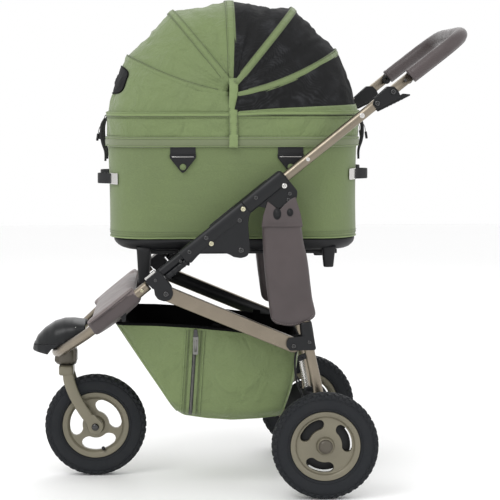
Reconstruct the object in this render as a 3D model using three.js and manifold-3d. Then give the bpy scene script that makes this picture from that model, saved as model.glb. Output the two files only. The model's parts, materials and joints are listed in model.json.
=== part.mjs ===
// Pet stroller: three air-tyred wheels, a folding tube frame, a lift-off fabric cot and a hood
// that opens from both ends. Millimetres, +Z up, the front wheel towards -X, +Y to the right of
// a person looking from -Y. The origin is on the ground under the middle of the object.
import * as THREE from 'three';
import { mergeVertices } from 'three/addons/utils/BufferGeometryUtils.js';
import Module from 'manifold-3d';

const wasm = await Module();
wasm.setup();

// ---- driving dimensions -------------------------------------------------------------------
const GAP = 0.3;                                // clearance between touching pieces

const WHEEL = { radius: 118, width: 44, rim: 82, hub: 19, axleX: 160.6, frontX: -351.7, track: 512 };
const FRAME_Y = 198;                            // centre plane of each side frame
const BAR = { half: 10, tall: 15.5 };           // black side bar: half width, half height
const PLATES = { inner: 180, near: 184, far: 212, outer: 216 };  // hinge cheeks, out from the middle
const TUBE = { leg: 11.5, front: 11.2, handle: 10.8 };           // champagne tube radii
const SLOPE = THREE.MathUtils.degToRad(38.87);  // slope of the side bar
const BAR_ORIGIN = [-125, 548];                 // a point on the side bar's axis, x and z

const FOLD_PIVOT = [-22, 545.6];
const LEG_PIVOT = [82, 655];
const LINK_PIVOT = [-186.6, 449.3];
const LINK_END = [94.3, 332];
const HANDLE_PIVOT = [72.5, 686.3];
const GRIP_START = [351, 925];
const GRIP_END = [477, 1021];
const HANDLE_Y = 196;

const HUB = [-37, 894];                         // hinge of the hood bows
const BOW_WIRE = 1.9;
const BOW_STEP = 4.4;                           // each bow's eye sits this much further out
const BOW_MIDDLE_Y = 152;
const BOW_CLEAR = 6.5;                          // how far the fabric stays from a bow
const SEAM_Z = 838;                             // where the hood meets the cot's upper flap

const COLOURS = {
  champagne: [0x9a907c, 0.35, 0.8], black: [0x24272b, 0.55, 0.1], leather: [0x6a5d5e, 0.6, 0],
  green: [0x8a9a78, 0.9, 0], mesh: [0x26292c, 0.85, 0], tyre: [0x1d1e20, 0.85, 0],
  rim: [0x8a8474, 0.45, 0.5], chrome: [0xc8ccd0, 0.2, 1],
};

// ---- shaping helpers ----------------------------------------------------------------------
const group = new THREE.Group();
group.name = 'pet_stroller';

function add(name, geometry, colour) {
  const [hex, roughness, metalness] = COLOURS[colour];
  const mesh = new THREE.Mesh(geometry, new THREE.MeshStandardMaterial({ color: hex, roughness, metalness }));
  mesh.name = name;
  group.add(mesh);
}

// Bare, merged geometry with no zero-area triangles and its faces pointing out.
function clean(geometry) {
  const bare = geometry.clone();
  bare.deleteAttribute('normal');
  bare.deleteAttribute('uv');
  const merged = mergeVertices(bare, 1e-3);
  const p = merged.getAttribute('position');
  const index = merged.index.array;
  const a = new THREE.Vector3();
  const b = new THREE.Vector3();
  const c = new THREE.Vector3();
  let volume = 0;
  const kept = [];
  for (let i = 0; i < index.length; i += 3) {
    const [u, v, w] = [index[i], index[i + 1], index[i + 2]];
    if (u === v || v === w || w === u) continue;
    volume += a.fromBufferAttribute(p, u).dot(b.fromBufferAttribute(p, v).cross(c.fromBufferAttribute(p, w)));
    kept.push(u, v, w);
  }
  if (volume < 0) for (let i = 0; i < kept.length; i += 3) [kept[i], kept[i + 1]] = [kept[i + 1], kept[i]];
  merged.setIndex(kept);
  return merged;
}

function solid(geometry) {
  const g = clean(geometry);
  const vertProperties = new Float32Array(g.getAttribute('position').array);
  return new wasm.Manifold(new wasm.Mesh({ numProp: 3, vertProperties, triVerts: new Uint32Array(g.index.array) }));
}

function geometryOf(manifold) {
  const mesh = manifold.getMesh();
  const g = new THREE.BufferGeometry();
  g.setAttribute('position', new THREE.BufferAttribute(new Float32Array(mesh.vertProperties), 3));
  g.setIndex(new THREE.BufferAttribute(new Uint32Array(mesh.triVerts), 1));
  return g;
}

const join = (...parts) => geometryOf(parts.map(solid).reduce((whole, part) => whole.add(part)));
const cut = (base, ...tools) => geometryOf(tools.map(solid).reduce((left, tool) => left.subtract(tool), solid(base)));

function box(x0, x1, y0, y1, z0, z1) {
  return new THREE.BoxGeometry(x1 - x0, y1 - y0, z1 - z0).translate((x0 + x1) / 2, (y0 + y1) / 2, (z0 + z1) / 2);
}

// A flat outline in x and z, given its thickness between two y values.
function plate(outline, yLow, yHigh) {
  const shape = new THREE.Shape(outline.map(([x, z]) => new THREE.Vector2(x, z)));
  const g = new THREE.ExtrudeGeometry(shape, { depth: yHigh - yLow, bevelEnabled: false });
  return clean(g.rotateX(Math.PI / 2).translate(0, yHigh, 0));
}

// The same, between two distances out from the middle on side -1 or 1.
function sidePlate(outline, near, far, side) {
  return side < 0 ? plate(outline, -far, -near) : plate(outline, near, far);
}

// Outline round two discs.
function capsule([ax, az], [bx, bz], ra, rb = ra, steps = 7) {
  const angle = Math.atan2(bz - az, bx - ax);
  const lean = Math.acos((ra - rb) / Math.hypot(bx - ax, bz - az));
  const points = [];
  for (let i = 0; i <= steps; i += 1) {
    const t = angle - lean + (2 * lean * i) / steps;
    points.push([bx + rb * Math.cos(t), bz + rb * Math.sin(t)]);
  }
  for (let i = 0; i <= steps; i += 1) {
    const t = angle + lean + ((2 * Math.PI - 2 * lean) * i) / steps;
    points.push([ax + ra * Math.cos(t), az + ra * Math.sin(t)]);
  }
  return points;
}

function pin(x, z, radius, yLow, yHigh, sides = 16) {
  return clean(new THREE.CylinderGeometry(radius, radius, yHigh - yLow, sides).translate(x, (yLow + yHigh) / 2, z));
}

function sidePin([x, z], radius, near, far, side, sides = 12) {
  return side < 0 ? pin(x, z, radius, -far, -near, sides) : pin(x, z, radius, near, far, sides);
}

function sweep(path, radius, steps, arcPoints = 5) {
  const circle = new THREE.Shape().absarc(0, 0, radius, 0, 2 * Math.PI);
  const options = { steps, bevelEnabled: false, extrudePath: path, curveSegments: arcPoints };
  return clean(new THREE.ExtrudeGeometry(circle, options));
}

const smooth = (points) => new THREE.CatmullRomCurve3(points.map((p) => new THREE.Vector3(...p)), false, 'centripetal');
const rod = (a, b, radius, arcPoints = 5) =>
  sweep(new THREE.LineCurve3(new THREE.Vector3(...a), new THREE.Vector3(...b)), radius, 1, arcPoints);

// Ring or disc turned about a line along y: profile pairs are radius and y.
function turned(profile, x, z, segments = 32) {
  const points = [...profile, profile[0]].map(([r, y]) => new THREE.Vector2(r, y));
  const g = new THREE.LatheGeometry(points, segments, Math.PI / segments + Math.PI / 2);
  return clean(g.translate(x, 0, z));
}

// A sheet of even thickness over a grid of points; offset(u, v) is the vector through it.
function sheet(columns, rows, point, offset) {
  const vertices = [];
  const index = [];
  const stride = rows + 1;
  const layer = (columns + 1) * stride;
  for (const lift of [0, 1]) {
    for (let i = 0; i <= columns; i += 1) {
      for (let j = 0; j <= rows; j += 1) {
        const p = point(i / columns, j / rows);
        const o = offset(i / columns, j / rows);
        vertices.push(p[0] + lift * o[0], p[1] + lift * o[1], p[2] + lift * o[2]);
      }
    }
  }
  const quad = (a, b, c, d) => index.push(a, b, c, a, c, d);
  const at = (i, j, lift) => lift * layer + i * stride + j;
  for (let i = 0; i < columns; i += 1) {
    for (let j = 0; j < rows; j += 1) {
      quad(at(i, j, 0), at(i, j + 1, 0), at(i + 1, j + 1, 0), at(i + 1, j, 0));
      quad(at(i, j, 1), at(i + 1, j, 1), at(i + 1, j + 1, 1), at(i, j + 1, 1));
    }
    quad(at(i, 0, 0), at(i + 1, 0, 0), at(i + 1, 0, 1), at(i, 0, 1));
    quad(at(i, rows, 0), at(i, rows, 1), at(i + 1, rows, 1), at(i + 1, rows, 0));
  }
  for (let j = 0; j < rows; j += 1) {
    quad(at(0, j, 0), at(0, j, 1), at(0, j + 1, 1), at(0, j + 1, 0));
    quad(at(columns, j, 0), at(columns, j + 1, 0), at(columns, j + 1, 1), at(columns, j, 1));
  }
  const g = new THREE.BufferGeometry();
  g.setAttribute('position', new THREE.BufferAttribute(new Float32Array(vertices), 3));
  g.setIndex(index);
  return clean(g);
}

// A point s along the side bar and n above its axis.
function onBar(s, n) {
  const [cos, sin] = [Math.cos(SLOPE), Math.sin(SLOPE)];
  return [BAR_ORIGIN[0] + s * cos - n * sin, BAR_ORIGIN[1] + s * sin + n * cos];
}
const barOutline = (pairs) => pairs.map(([s, n]) => onBar(s, n));

// ---- chassis ------------------------------------------------------------------------------
const CLEVIS_END = -60;                         // along the bar
const WIDE_END = 8;                             // the bar is full width up to here
const SEAM_END = 54;                            // where the folding cheeks begin

function frontTubePath() {
  const half = [[-226, FRAME_Y, 467], [-262, FRAME_Y, 437.5], [-300, FRAME_Y, 407], [-338, 178, 374], [-372, 148, 347],
    [-405, 100, 318], [-428, 60, 300], [-440, 0, 291]];
  const other = half.slice(0, -1).reverse().map(([x, y, z]) => [x, -y, z]);
  return smooth([...half, ...other]);
}

function frontTube(extra = 0) {
  return sweep(frontTubePath(), TUBE.front + extra, 28, 4);
}

function clevisBracket(side) {
  const bar = sidePlate(barOutline([[-129, -14], [CLEVIS_END, -14], [CLEVIS_END, 15], [-129, 15]]), PLATES.inner, PLATES.outer, side);
  const ears = capsule(onBar(-82, -2), LINK_PIVOT, 14, 15);
  const inner = sidePlate(ears, PLATES.inner, PLATES.near, side);
  const outer = sidePlate(ears, PLATES.far, PLATES.outer, side);
  const linkPin = sidePin(LINK_PIVOT, 4, PLATES.inner + 1, PLATES.outer - 1, side);
  return join(bar, inner, outer, linkPin);
}

function lowerCasting(side) {
  const start = CLEVIS_END + GAP;
  const wide = [[start, -15.5], [WIDE_END, -15.5], [WIDE_END, 15.5], [start, 15.5]];
  const thin = [[WIDE_END - 1, -13.5], [SEAM_END - 4, -13.5], [SEAM_END - 4, 13.5], [WIDE_END - 1, 13.5]];
  const lug = capsule(onBar(SEAM_END - 16, 0), FOLD_PIVOT, 13.4, 14);
  const latch = rod([...onBar(-52, -17)].toSpliced(1, 0, side * FRAME_Y), [...onBar(-4, -17)].toSpliced(1, 0, side * FRAME_Y), 8);
  const body = join(
    sidePlate(barOutline(wide), PLATES.inner, PLATES.outer, side),
    sidePlate(barOutline(thin), PLATES.near + 1, PLATES.far - 1, side),
    sidePlate(lug, FRAME_Y - BAR.half, FRAME_Y + BAR.half, side),
    latch,
  );
  return cut(body, sidePin(FOLD_PIVOT, 5 + GAP, PLATES.inner, PLATES.outer, side));
}

function gussetPlate(side) {
  const outline = [[-137, 519], [-112, 525], [-44, 528], [-34, 530.5], [-22, 529], [-10, 533], [-5, 546], [-5, 577],
    [-4, 612], [-12, 640], [-24, 640], [-92, 578], [-108, 566], [-130, 536]];
  return sidePlate(outline, PLATES.outer + 1, PLATES.outer + 5, side);
}

function cotPlatform() {
  const [low, high] = [526, 536.4];
  const reach = PLATES.inner - GAP;
  return join(
    box(-160, -138, -reach, reach, low - 4, high), box(-40, -16, -reach, reach, low, high),
    box(-245, 200, -108, -84, low, high), box(-245, 200, 84, 108, low, high),
    box(176, 200, -108, 108, low, high), box(-245, -221, -108, 108, low, high),
  );
}

function frontPad() {
  const [top, bottom] = [24, -16];
  const plan = [[-157, 214], [-222, 214], [-290, 181]];
  const shape = new THREE.Shape([...plan, ...plan.toReversed().map(([s, y]) => [s, -y])].map(([s, y]) => new THREE.Vector2(s, y)));
  const slab = new THREE.ExtrudeGeometry(shape, { depth: top - bottom, bevelEnabled: false }).translate(0, 0, bottom);
  slab.rotateY(-SLOPE).translate(BAR_ORIGIN[0], 0, BAR_ORIGIN[1]);
  const hollow = new THREE.BoxGeometry(300, 2 * 142, 40).translate(-230, 0, -16).rotateY(-SLOPE)
    .translate(BAR_ORIGIN[0], 0, BAR_ORIGIN[1]);
  return cut(slab, hollow, frontTube(0.5));
}

function frontFender() {
  const dome = new THREE.SphereGeometry(1, 16, 8, 0, 2 * Math.PI, 0, Math.PI / 2).rotateX(Math.PI / 2);
  const capped = join(clean(closeDome(dome)).scale(58, 65, 64).translate(-434.8, 0, 304.5));
  return cut(capped, frontTube(0.5));
}

// A dome from SphereGeometry is open below, so its rim is closed with a disc.
function closeDome(dome) {
  const rim = new THREE.CircleGeometry(1, 16).rotateX(Math.PI);
  const positions = [...dome.toNonIndexed().getAttribute('position').array, ...rim.toNonIndexed().getAttribute('position').array];
  const g = new THREE.BufferGeometry();
  g.setAttribute('position', new THREE.BufferAttribute(new Float32Array(positions), 3));
  return g;
}

function steeringHead() {
  const head = new THREE.CylinderGeometry(27, 24, 38, 16).rotateX(Math.PI / 2).translate(-419, 0, 262 + 19);
  return cut(join(head, box(-446, -396, -20, 20, 266, 303.5)), frontTube(GAP));
}

// ---- upper frame and handle ---------------------------------------------------------------
function upperCasting(side) {
  const cheek = [[SEAM_END, 15.5], [222, 15.5], [250, 15.5], [256, 10], [256, -44], [244, -58], [226, -60], [213, -48],
    [205, -15.5], [112, -15.5], [93, -62], [88, -76], [76, -80], [65, -74], [63, -60], [66, -30], [SEAM_END, -15.5]];
  const outline = barOutline(cheek);
  const core = [[124, 15.5], [214, 15.5], [206, -15.5], [112, -15.5]];
  return join(
    sidePlate(outline, PLATES.inner, PLATES.near, side),
    sidePlate(outline, PLATES.far, PLATES.outer, side),
    sidePlate(barOutline(core), PLATES.inner + 0.5, PLATES.outer - 0.5, side),
  );
}

function handleTube(side) {
  const y = side * HANDLE_Y;
  const along = new THREE.Vector2(GRIP_START[0] - HANDLE_PIVOT[0], GRIP_START[1] - HANDLE_PIVOT[1]).normalize();
  const start = [HANDLE_PIVOT[0] - 9 * along.x, y, HANDLE_PIVOT[1] - 9 * along.y];
  const end = [GRIP_START[0] - 1.5 * along.x, y, GRIP_START[1] - 1.5 * along.y];
  const tube = rod(start, end, TUBE.handle);
  return cut(tube, sidePin(HANDLE_PIVOT, 5 + GAP, PLATES.inner, PLATES.outer, side));
}

function handleGrip() {
  const run = (t, y) => [GRIP_START[0] + t * (GRIP_END[0] - GRIP_START[0]), y, GRIP_START[1] + t * (GRIP_END[1] - GRIP_START[1])];
  const half = [run(0, HANDLE_Y), run(0.35, HANDLE_Y), run(0.66, 193), run(0.87, 176), run(0.97, 148), run(1, 110), run(1, 50)];
  const other = half.toReversed().map(([x, y, z]) => [x, -y, z]);
  return sweep(smooth([...half, ...other]), 16, 24);
}

function leverHousing(side) {
  const outline = [[262, 856], [268, 846], [282, 849], [336, 888], [330, 903], [316, 905], [268, 870]];
  const shell = sidePlate(outline, HANDLE_Y - 13, HANDLE_Y + 13, side);
  const y = side * HANDLE_Y;
  const bore = rod([HANDLE_PIVOT[0], y, HANDLE_PIVOT[1]], [GRIP_START[0], y, GRIP_START[1]], TUBE.handle + GAP);
  const leverSlot = [[284, 840], [300, 836], [356, 878], [350, 900], [340, 900], [304, 876], [288, 864]];
  return cut(shell, bore, sidePlate(leverSlot, HANDLE_Y - 8, HANDLE_Y + 8, side));
}

function foldLever(side) {
  const outline = [[288, 846], [294, 841], [318, 853], [350, 880], [352, 887], [345, 888.5], [312, 866]];
  return sidePlate(outline, HANDLE_Y - 7, HANDLE_Y + 7, side);
}

// ---- rear legs ----------------------------------------------------------------------------
const LEG_POINTS = [LEG_PIVOT, [127.6, 336], [149.9, 225.8], [WHEEL.axleX, WHEEL.radius]];

function rearLeg(side) {
  const [near, far] = [FRAME_Y - BAR.half, FRAME_Y + BAR.half];
  const runs = LEG_POINTS.slice(1).map((point, i) => sidePlate(capsule(LEG_POINTS[i], point, TUBE.leg, TUBE.leg, 5), near, far, side));
  const ear = capsule(LINK_END, [128, 336], 12, 12);
  const clamp = [[119, 324], [143, 324], [140, 349], [117, 349]];
  const body = join(
    ...runs, sidePlate(ear, PLATES.inner, PLATES.near, side), sidePlate(ear, PLATES.far, PLATES.outer, side),
    sidePlate(clamp, PLATES.inner, PLATES.outer, side),
  );
  const pivotHole = sidePin(LEG_PIVOT, 4 + GAP, PLATES.inner, PLATES.outer, side);
  const axleHole = sidePin(LEG_POINTS[3], 6 + GAP, PLATES.inner, PLATES.outer, side);
  return cut(body, pivotHole, axleHole);
}

function legCover(side) {
  const outline = [[26, 622], [112, 626], [126, 520], [144.5, 402], [138, 388], [120, 380], [62, 377], [46, 383], [41, 398], [31, 520]];
  const shell = sidePlate(outline, FRAME_Y - 14, FRAME_Y + 14, side);
  const channel = sidePlate(capsule(LEG_POINTS[0], LEG_POINTS[1], TUBE.leg + 0.5, TUBE.leg + 0.5, 5),
    FRAME_Y - BAR.half - 0.5, FRAME_Y + BAR.half + 0.5, side);
  return cut(shell, channel);
}

function rearAxle() {
  const { axleX: x, radius: z } = WHEEL;
  return join(pin(x, z, 6, -278.5, 278.5, 12), pin(x, z, 13, -187, 187, 14));
}

function brakeCable() {
  const { axleX: x, radius: z } = WHEEL;
  const route = [[x - 21, -176, z + 6], [x - 23, -120, z + 16], [x - 23, -60, z + 19], [x - 23, 60, z + 19],
    [x - 23, 120, z + 16], [x - 21, 176, z + 6]];
  return sweep(smooth(route), 3, 20, 4);
}

function brakePedal() {
  const { axleX: x, radius: z } = WHEEL;
  return join(box(x + 14.5, x + 62, -46, 46, z - 4, z + 6), box(x + 54, x + 66, -46, 46, z - 2, z + 12));
}

// ---- wheels -------------------------------------------------------------------------------
const FACETS = 32;
const TYRE_RADIUS = WHEEL.radius / Math.cos(Math.PI / FACETS);   // so that a flat facet meets the ground

function tyre(x, y) {
  const h = WHEEL.width / 2;
  const profile = [[WHEEL.rim, -16], [92, -20.5], [104, -h], [113, -17], [TYRE_RADIUS, -6],
    [TYRE_RADIUS, 6], [113, 17], [104, h], [92, 20.5], [WHEEL.rim, 16]];
  return turned(profile, x, WHEEL.radius, FACETS).translate(0, y, 0);
}

function rim(x, y, slots) {
  const edge = WHEEL.rim - 1;
  const disc = [[6.4, -17], [WHEEL.hub, -17], [WHEEL.hub + 3, -5], [68, -5], [72, -15.5], [edge, -15.5], [edge, 15.5],
    [72, 15.5], [68, 5], [WHEEL.hub + 3, 5], [WHEEL.hub, 17], [6.4, 17]];
  const body = turned(disc, 0, 0, 24);
  const tools = slots.map(([angle, spread]) => plate(ringSector(40, 62, angle, spread), -30, 30));
  return cut(body, ...tools).translate(x, y, WHEEL.radius);
}

function ringSector(inner, outer, angle, spread, steps = 4) {
  const arc = (r, from, to) => Array.from({ length: steps + 1 }, (_, i) => {
    const t = THREE.MathUtils.degToRad(from + ((to - from) * i) / steps);
    return [r * Math.cos(t), r * Math.sin(t)];
  });
  return [...arc(outer, angle - spread / 2, angle + spread / 2), ...arc(inner, angle + spread / 2, angle - spread / 2)];
}

// ---- fork ---------------------------------------------------------------------------------
const STEER_X = -418;
function fork() {
  const { frontX: x, radius: z } = WHEEL;
  const route = [[STEER_X, 246], [-412, 196], [-392, 152], [x, z]];
  const legs = [-1, 1].flatMap((side) => route.slice(1).map((point, i) =>
    sidePlate(capsule(route[i], point, 11, i === 2 ? 12 : 11, 5), 27, 35, side)));
  const crown = box(STEER_X - 17, STEER_X + 17, -35, 35, 238, 261.6);
  return join(crown, ...legs, pin(x, z, 6, -36, 36, 12));
}

// ---- lower links and basket ---------------------------------------------------------------
function lowerLink(side) {
  const bar = sidePlate(capsule(LINK_PIVOT, LINK_END, 19, 17), FRAME_Y - BAR.half, FRAME_Y + BAR.half, side);
  return cut(bar, sidePin(LINK_PIVOT, 4 + GAP, PLATES.inner, PLATES.outer, side));
}

const BASKET = { y: 168, wall: 5 };
function basket() {
  const outer = [[-302, 372], [-233, 424], [112, 342], [106, 300], [62, 172], [-40, 156], [-192, 180]];
  const inner = [[-296, 372], [-233, 460], [160, 400], [101, 302], [57, 178], [-40, 162], [-188, 186]];
  const bag = plate(outer, -BASKET.y, BASKET.y);
  return cut(bag, plate(inner, -BASKET.y + BASKET.wall, BASKET.y - BASKET.wall));
}

// ---- cot ----------------------------------------------------------------------------------
// Rounded rectangle ring in plan, as points at a height.
function planRing(xMin, xMax, yHalf, corner, perCorner = 3) {
  const centres = [[xMax - corner, yHalf - corner, 0], [xMin + corner, yHalf - corner, 90],
    [xMin + corner, -yHalf + corner, 180], [xMax - corner, -yHalf + corner, 270]];
  return centres.flatMap(([cx, cy, start]) => Array.from({ length: perCorner + 1 }, (_, i) => {
    const t = THREE.MathUtils.degToRad(start + (90 * i) / perCorner);
    return [cx + corner * Math.cos(t), cy + corner * Math.sin(t)];
  }));
}

// A solid lofted through rings of equal length, flat at both ends.
function loft(rings) {
  const count = rings[0].points.length;
  const vertices = rings.flatMap(({ points, z }) => points.flatMap(([x, y]) => [x, y, z]));
  const index = [];
  for (let k = 0; k < rings.length - 1; k += 1) {
    for (let i = 0; i < count; i += 1) {
      const [a, b] = [k * count + i, k * count + ((i + 1) % count)];
      index.push(a, b, b + count, a, b + count, a + count);
    }
  }
  const top = (rings.length - 1) * count;
  for (let i = 1; i < count - 1; i += 1) index.push(0, i + 1, i, top, top + i, top + i + 1);
  const g = new THREE.BufferGeometry();
  g.setAttribute('position', new THREE.BufferAttribute(new Float32Array(vertices), 3));
  g.setIndex(index);
  return clean(g);
}

const COT = { floor: 563, rimLow: 762, rimHigh: 790, top: SEAM_Z - 2 };

function cotWalls() {
  const shell = (inset, low, high) => loft([
    { points: planRing(-311 + inset, 251 - inset, 152 - inset, 58 - inset), z: low },
    { points: planRing(-316 + inset, 256 - inset, 163 - inset, 62 - inset), z: COT.rimLow },
    { points: planRing(-318 + inset, 256 - inset, 164 - inset, 62 - inset), z: high },
  ]);
  const band = loft([{ points: planRing(-320, 259, 168, 64), z: COT.rimLow }, { points: planRing(-320, 259, 168, 64), z: COT.rimHigh }]);
  return cut(join(shell(0, COT.floor, COT.top), band), shell(6, COT.floor + 8, COT.top + 5));
}

function cotTray() {
  const deck = loft([
    { points: planRing(-258, 214, 132, 44), z: 537 }, { points: planRing(-300, 250, 152, 56), z: 551 },
    { points: planRing(-304, 253, 154, 58), z: COT.floor - GAP },
  ]);
  const feet = [[-250, -222, 462], [163, 193, 498]].flatMap(([x0, x1, z]) => [-1, 1].map((side) => {
    const taper = (inset) => planRing(x0 + inset, x1 - inset, 11 - inset / 2, 5, 1).map(([x, y]) => [x, y + side * 130]);
    return loft([{ points: taper(4), z }, { points: taper(0), z: 545 }]);
  }));
  return join(deck, ...feet);
}

// ---- hood ---------------------------------------------------------------------------------
// A bow is an arch over the cot, in a plane through the hub at an angle, length long at its middle.
const BOWS = {
  hood_bow_front_1: { angle: 163, length: 249.7, y: BOW_MIDDLE_Y + 2 * BOW_STEP },
  hood_bow_front_2: { angle: 128, length: 224.4, y: BOW_MIDDLE_Y + BOW_STEP },
  hood_bow_centre: { angle: 91.4, length: 202, y: BOW_MIDDLE_Y },
  hood_bow_rear_3: { angle: 52, length: 233.4, y: BOW_MIDDLE_Y + 3 * BOW_STEP },
  hood_bow_rear_4: { angle: 19.7, length: 258, y: BOW_MIDDLE_Y + 4 * BOW_STEP },
};
const ARCH_POWER = 0.72;

function arch({ angle, length, y }, t) {
  const a = Math.PI * t;
  const phi = THREE.MathUtils.degToRad(angle);
  const across = -Math.sign(Math.cos(a)) * y * Math.abs(Math.cos(a)) ** ARCH_POWER;
  const out = length * Math.abs(Math.sin(a)) ** ARCH_POWER;
  return [HUB[0] + out * Math.cos(phi), across, HUB[1] + out * Math.sin(phi)];
}

function bow(name) {
  const spec = BOWS[name];
  const points = Array.from({ length: 17 }, (_, i) => arch(spec, i / 16));
  const wire = sweep(smooth(points), BOW_WIRE, 20, 3);
  const eyes = [-1, 1].map((side) => sidePlate(capsule(HUB, arch(spec, 0.01).toSpliced(1, 1), 10, 4), spec.y - BOW_WIRE, spec.y + BOW_WIRE, side));
  const posts = name !== 'hood_bow_centre' ? []
    : [-1, 1].map((side) => sidePlate([[-45, 772], [-29, 772], [-31, 890], [-43, 890]], spec.y - BOW_WIRE, spec.y + BOW_WIRE, side));
  return join(wire, ...eyes, ...posts);
}

const between = (a, b, t) => a.map((value, i) => value + (b[i] - value) * t);

// Fabric stretched from one bow to the next, kept clear of both.
function hoodPanel(from, to) {
  const point = (u, v) => {
    const t = 0.025 + 0.95 * u;
    const [a, b] = [arch(BOWS[from], t), arch(BOWS[to], t)];
    const margin = BOW_CLEAR / Math.hypot(b[0] - a[0], b[2] - a[2]);
    return between(a, b, margin + (1 - 2 * margin) * v);
  };
  const offset = (u, v) => {
    const p = point(u, v);
    const out = new THREE.Vector3(p[0] - HUB[0], p[1], p[2] - HUB[1]).normalize().multiplyScalar(1.6);
    return out.toArray();
  };
  return sheet(12, 2, point, offset);
}

// The hem line that the hood zips to: round one end of the cot, at the seam's height.
function seamLine(end, t) {
  const [near, far] = end < 0 ? [-62, -318] : [-12, 256];
  const corner = 62;
  const straight = Math.abs(far - near) - corner;
  const quarter = (Math.PI / 2) * corner;
  const across = 2 * (162 - corner);
  const total = 2 * straight + 2 * quarter + across;
  let d = t * total;
  const mirror = d > total / 2;
  if (mirror) d = total - d;
  let x;
  let y;
  if (d <= straight) [x, y] = [near + end * d, -162];
  else if (d <= straight + quarter) {
    const a = (d - straight) / corner;
    [x, y] = [near + end * (straight + corner * Math.sin(a)), -162 + corner * (1 - Math.cos(a))];
  } else [x, y] = [far, -162 + corner + (d - straight - quarter)];
  return [x, mirror ? -y : y, SEAM_Z + (end < 0 ? 0 : 4)];
}

function hoodSkirt(bowName, end) {
  const start = 0.075;
  const point = (u, v) => {
    const a = arch(BOWS[bowName], start + (1 - 2 * start) * u);
    const b = seamLine(end, u);
    const margin = BOW_CLEAR / Math.hypot(b[0] - a[0], b[1] - a[1], b[2] - a[2]);
    return between(a, b, margin + (1 - margin) * v);
  };
  const offset = (u, v) => {
    const p = point(u, v);
    const out = new THREE.Vector3(p[0] - HUB[0], 1.3 * p[1], 0.4 * (p[2] - HUB[1] + 60)).normalize().multiplyScalar(1.6);
    return out.toArray();
  };
  return sheet(16, 2, point, offset);
}

// ---- assembly -----------------------------------------------------------------------------
add('front_frame_tube', frontTube(), 'champagne');
add('front_pad', frontPad(), 'leather');
add('front_fender', frontFender(), 'black');
add('steering_head', steeringHead(), 'black');
add('cot_platform', cotPlatform(), 'black');
add('handle_grip', handleGrip(), 'leather');
add('rear_axle', rearAxle(), 'black');
add('brake_cable', brakeCable(), 'black');
add('brake_pedal', brakePedal(), 'black');
add('fork', fork(), 'rim');
add('basket', basket(), 'green');
add('cot_walls', cotWalls(), 'green');
add('cot_tray', cotTray(), 'black');

for (const [label, side] of [['left', -1], ['right', 1]]) {
  add(`clevis_bracket_${label}`, clevisBracket(side), 'black');
  add(`lower_casting_${label}`, lowerCasting(side), 'black');
  add(`gusset_plate_${label}`, gussetPlate(side), 'black');
  add(`fold_pin_${label}`, sidePin(FOLD_PIVOT, 5, PLATES.near + GAP, PLATES.far - GAP, side), 'chrome');
  add(`upper_casting_${label}`, upperCasting(side), 'black');
  add(`handle_bolt_${label}`, sidePin(HANDLE_PIVOT, 5, PLATES.near + GAP, PLATES.far - GAP, side), 'chrome');
  add(`leg_pin_${label}`, sidePin(LEG_PIVOT, 4, PLATES.near + GAP, PLATES.far - GAP, side), 'chrome');
  add(`handle_tube_${label}`, handleTube(side), 'champagne');
  add(`lever_housing_${label}`, leverHousing(side), 'black');
  add(`fold_lever_${label}`, foldLever(side), 'black');
  add(`rear_leg_${label}`, rearLeg(side), 'champagne');
  add(`leg_cover_${label}`, legCover(side), 'leather');
  add(`leg_spring_${label}`, rod([110, side * FRAME_Y, 304], [126, side * FRAME_Y, 232], 7, 4), 'chrome');
  add(`lower_link_${label}`, lowerLink(side), 'champagne');
  add(`rear_tyre_${label}`, tyre(WHEEL.axleX, (side * WHEEL.track) / 2), 'tyre');
  add(`rear_rim_${label}`, rim(WHEEL.axleX, (side * WHEEL.track) / 2, [[138, 75], [22, 75], [256, 75]]), 'rim');
}
add('front_tyre', tyre(WHEEL.frontX, 0), 'tyre');
add('front_rim', rim(WHEEL.frontX, 0, [[90, 84], [210, 84], [330, 84]]), 'rim');

for (const name of Object.keys(BOWS)) add(name, bow(name), 'black');
add('hood_front_skirt', hoodSkirt('hood_bow_front_1', -1), 'green');
add('hood_front_panel_1', hoodPanel('hood_bow_front_1', 'hood_bow_front_2'), 'green');
add('hood_front_panel_2', hoodPanel('hood_bow_front_2', 'hood_bow_centre'), 'green');
add('hood_rear_mesh_1', hoodPanel('hood_bow_centre', 'hood_bow_rear_3'), 'mesh');
add('hood_rear_mesh_2', hoodPanel('hood_bow_rear_3', 'hood_bow_rear_4'), 'mesh');
add('hood_rear_skirt', hoodSkirt('hood_bow_rear_4', 1), 'mesh');

export default group;
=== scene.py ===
"""Pet stroller: detailed surfaces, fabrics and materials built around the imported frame.

Outlines and sizes are in millimetres and are turned into metres where a mesh is made.
-X is the front, +Z is up, and the left side is at -Y.
"""

import json
import math
import random

import bmesh
import bpy
import numpy as np
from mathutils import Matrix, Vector, noise


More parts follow.
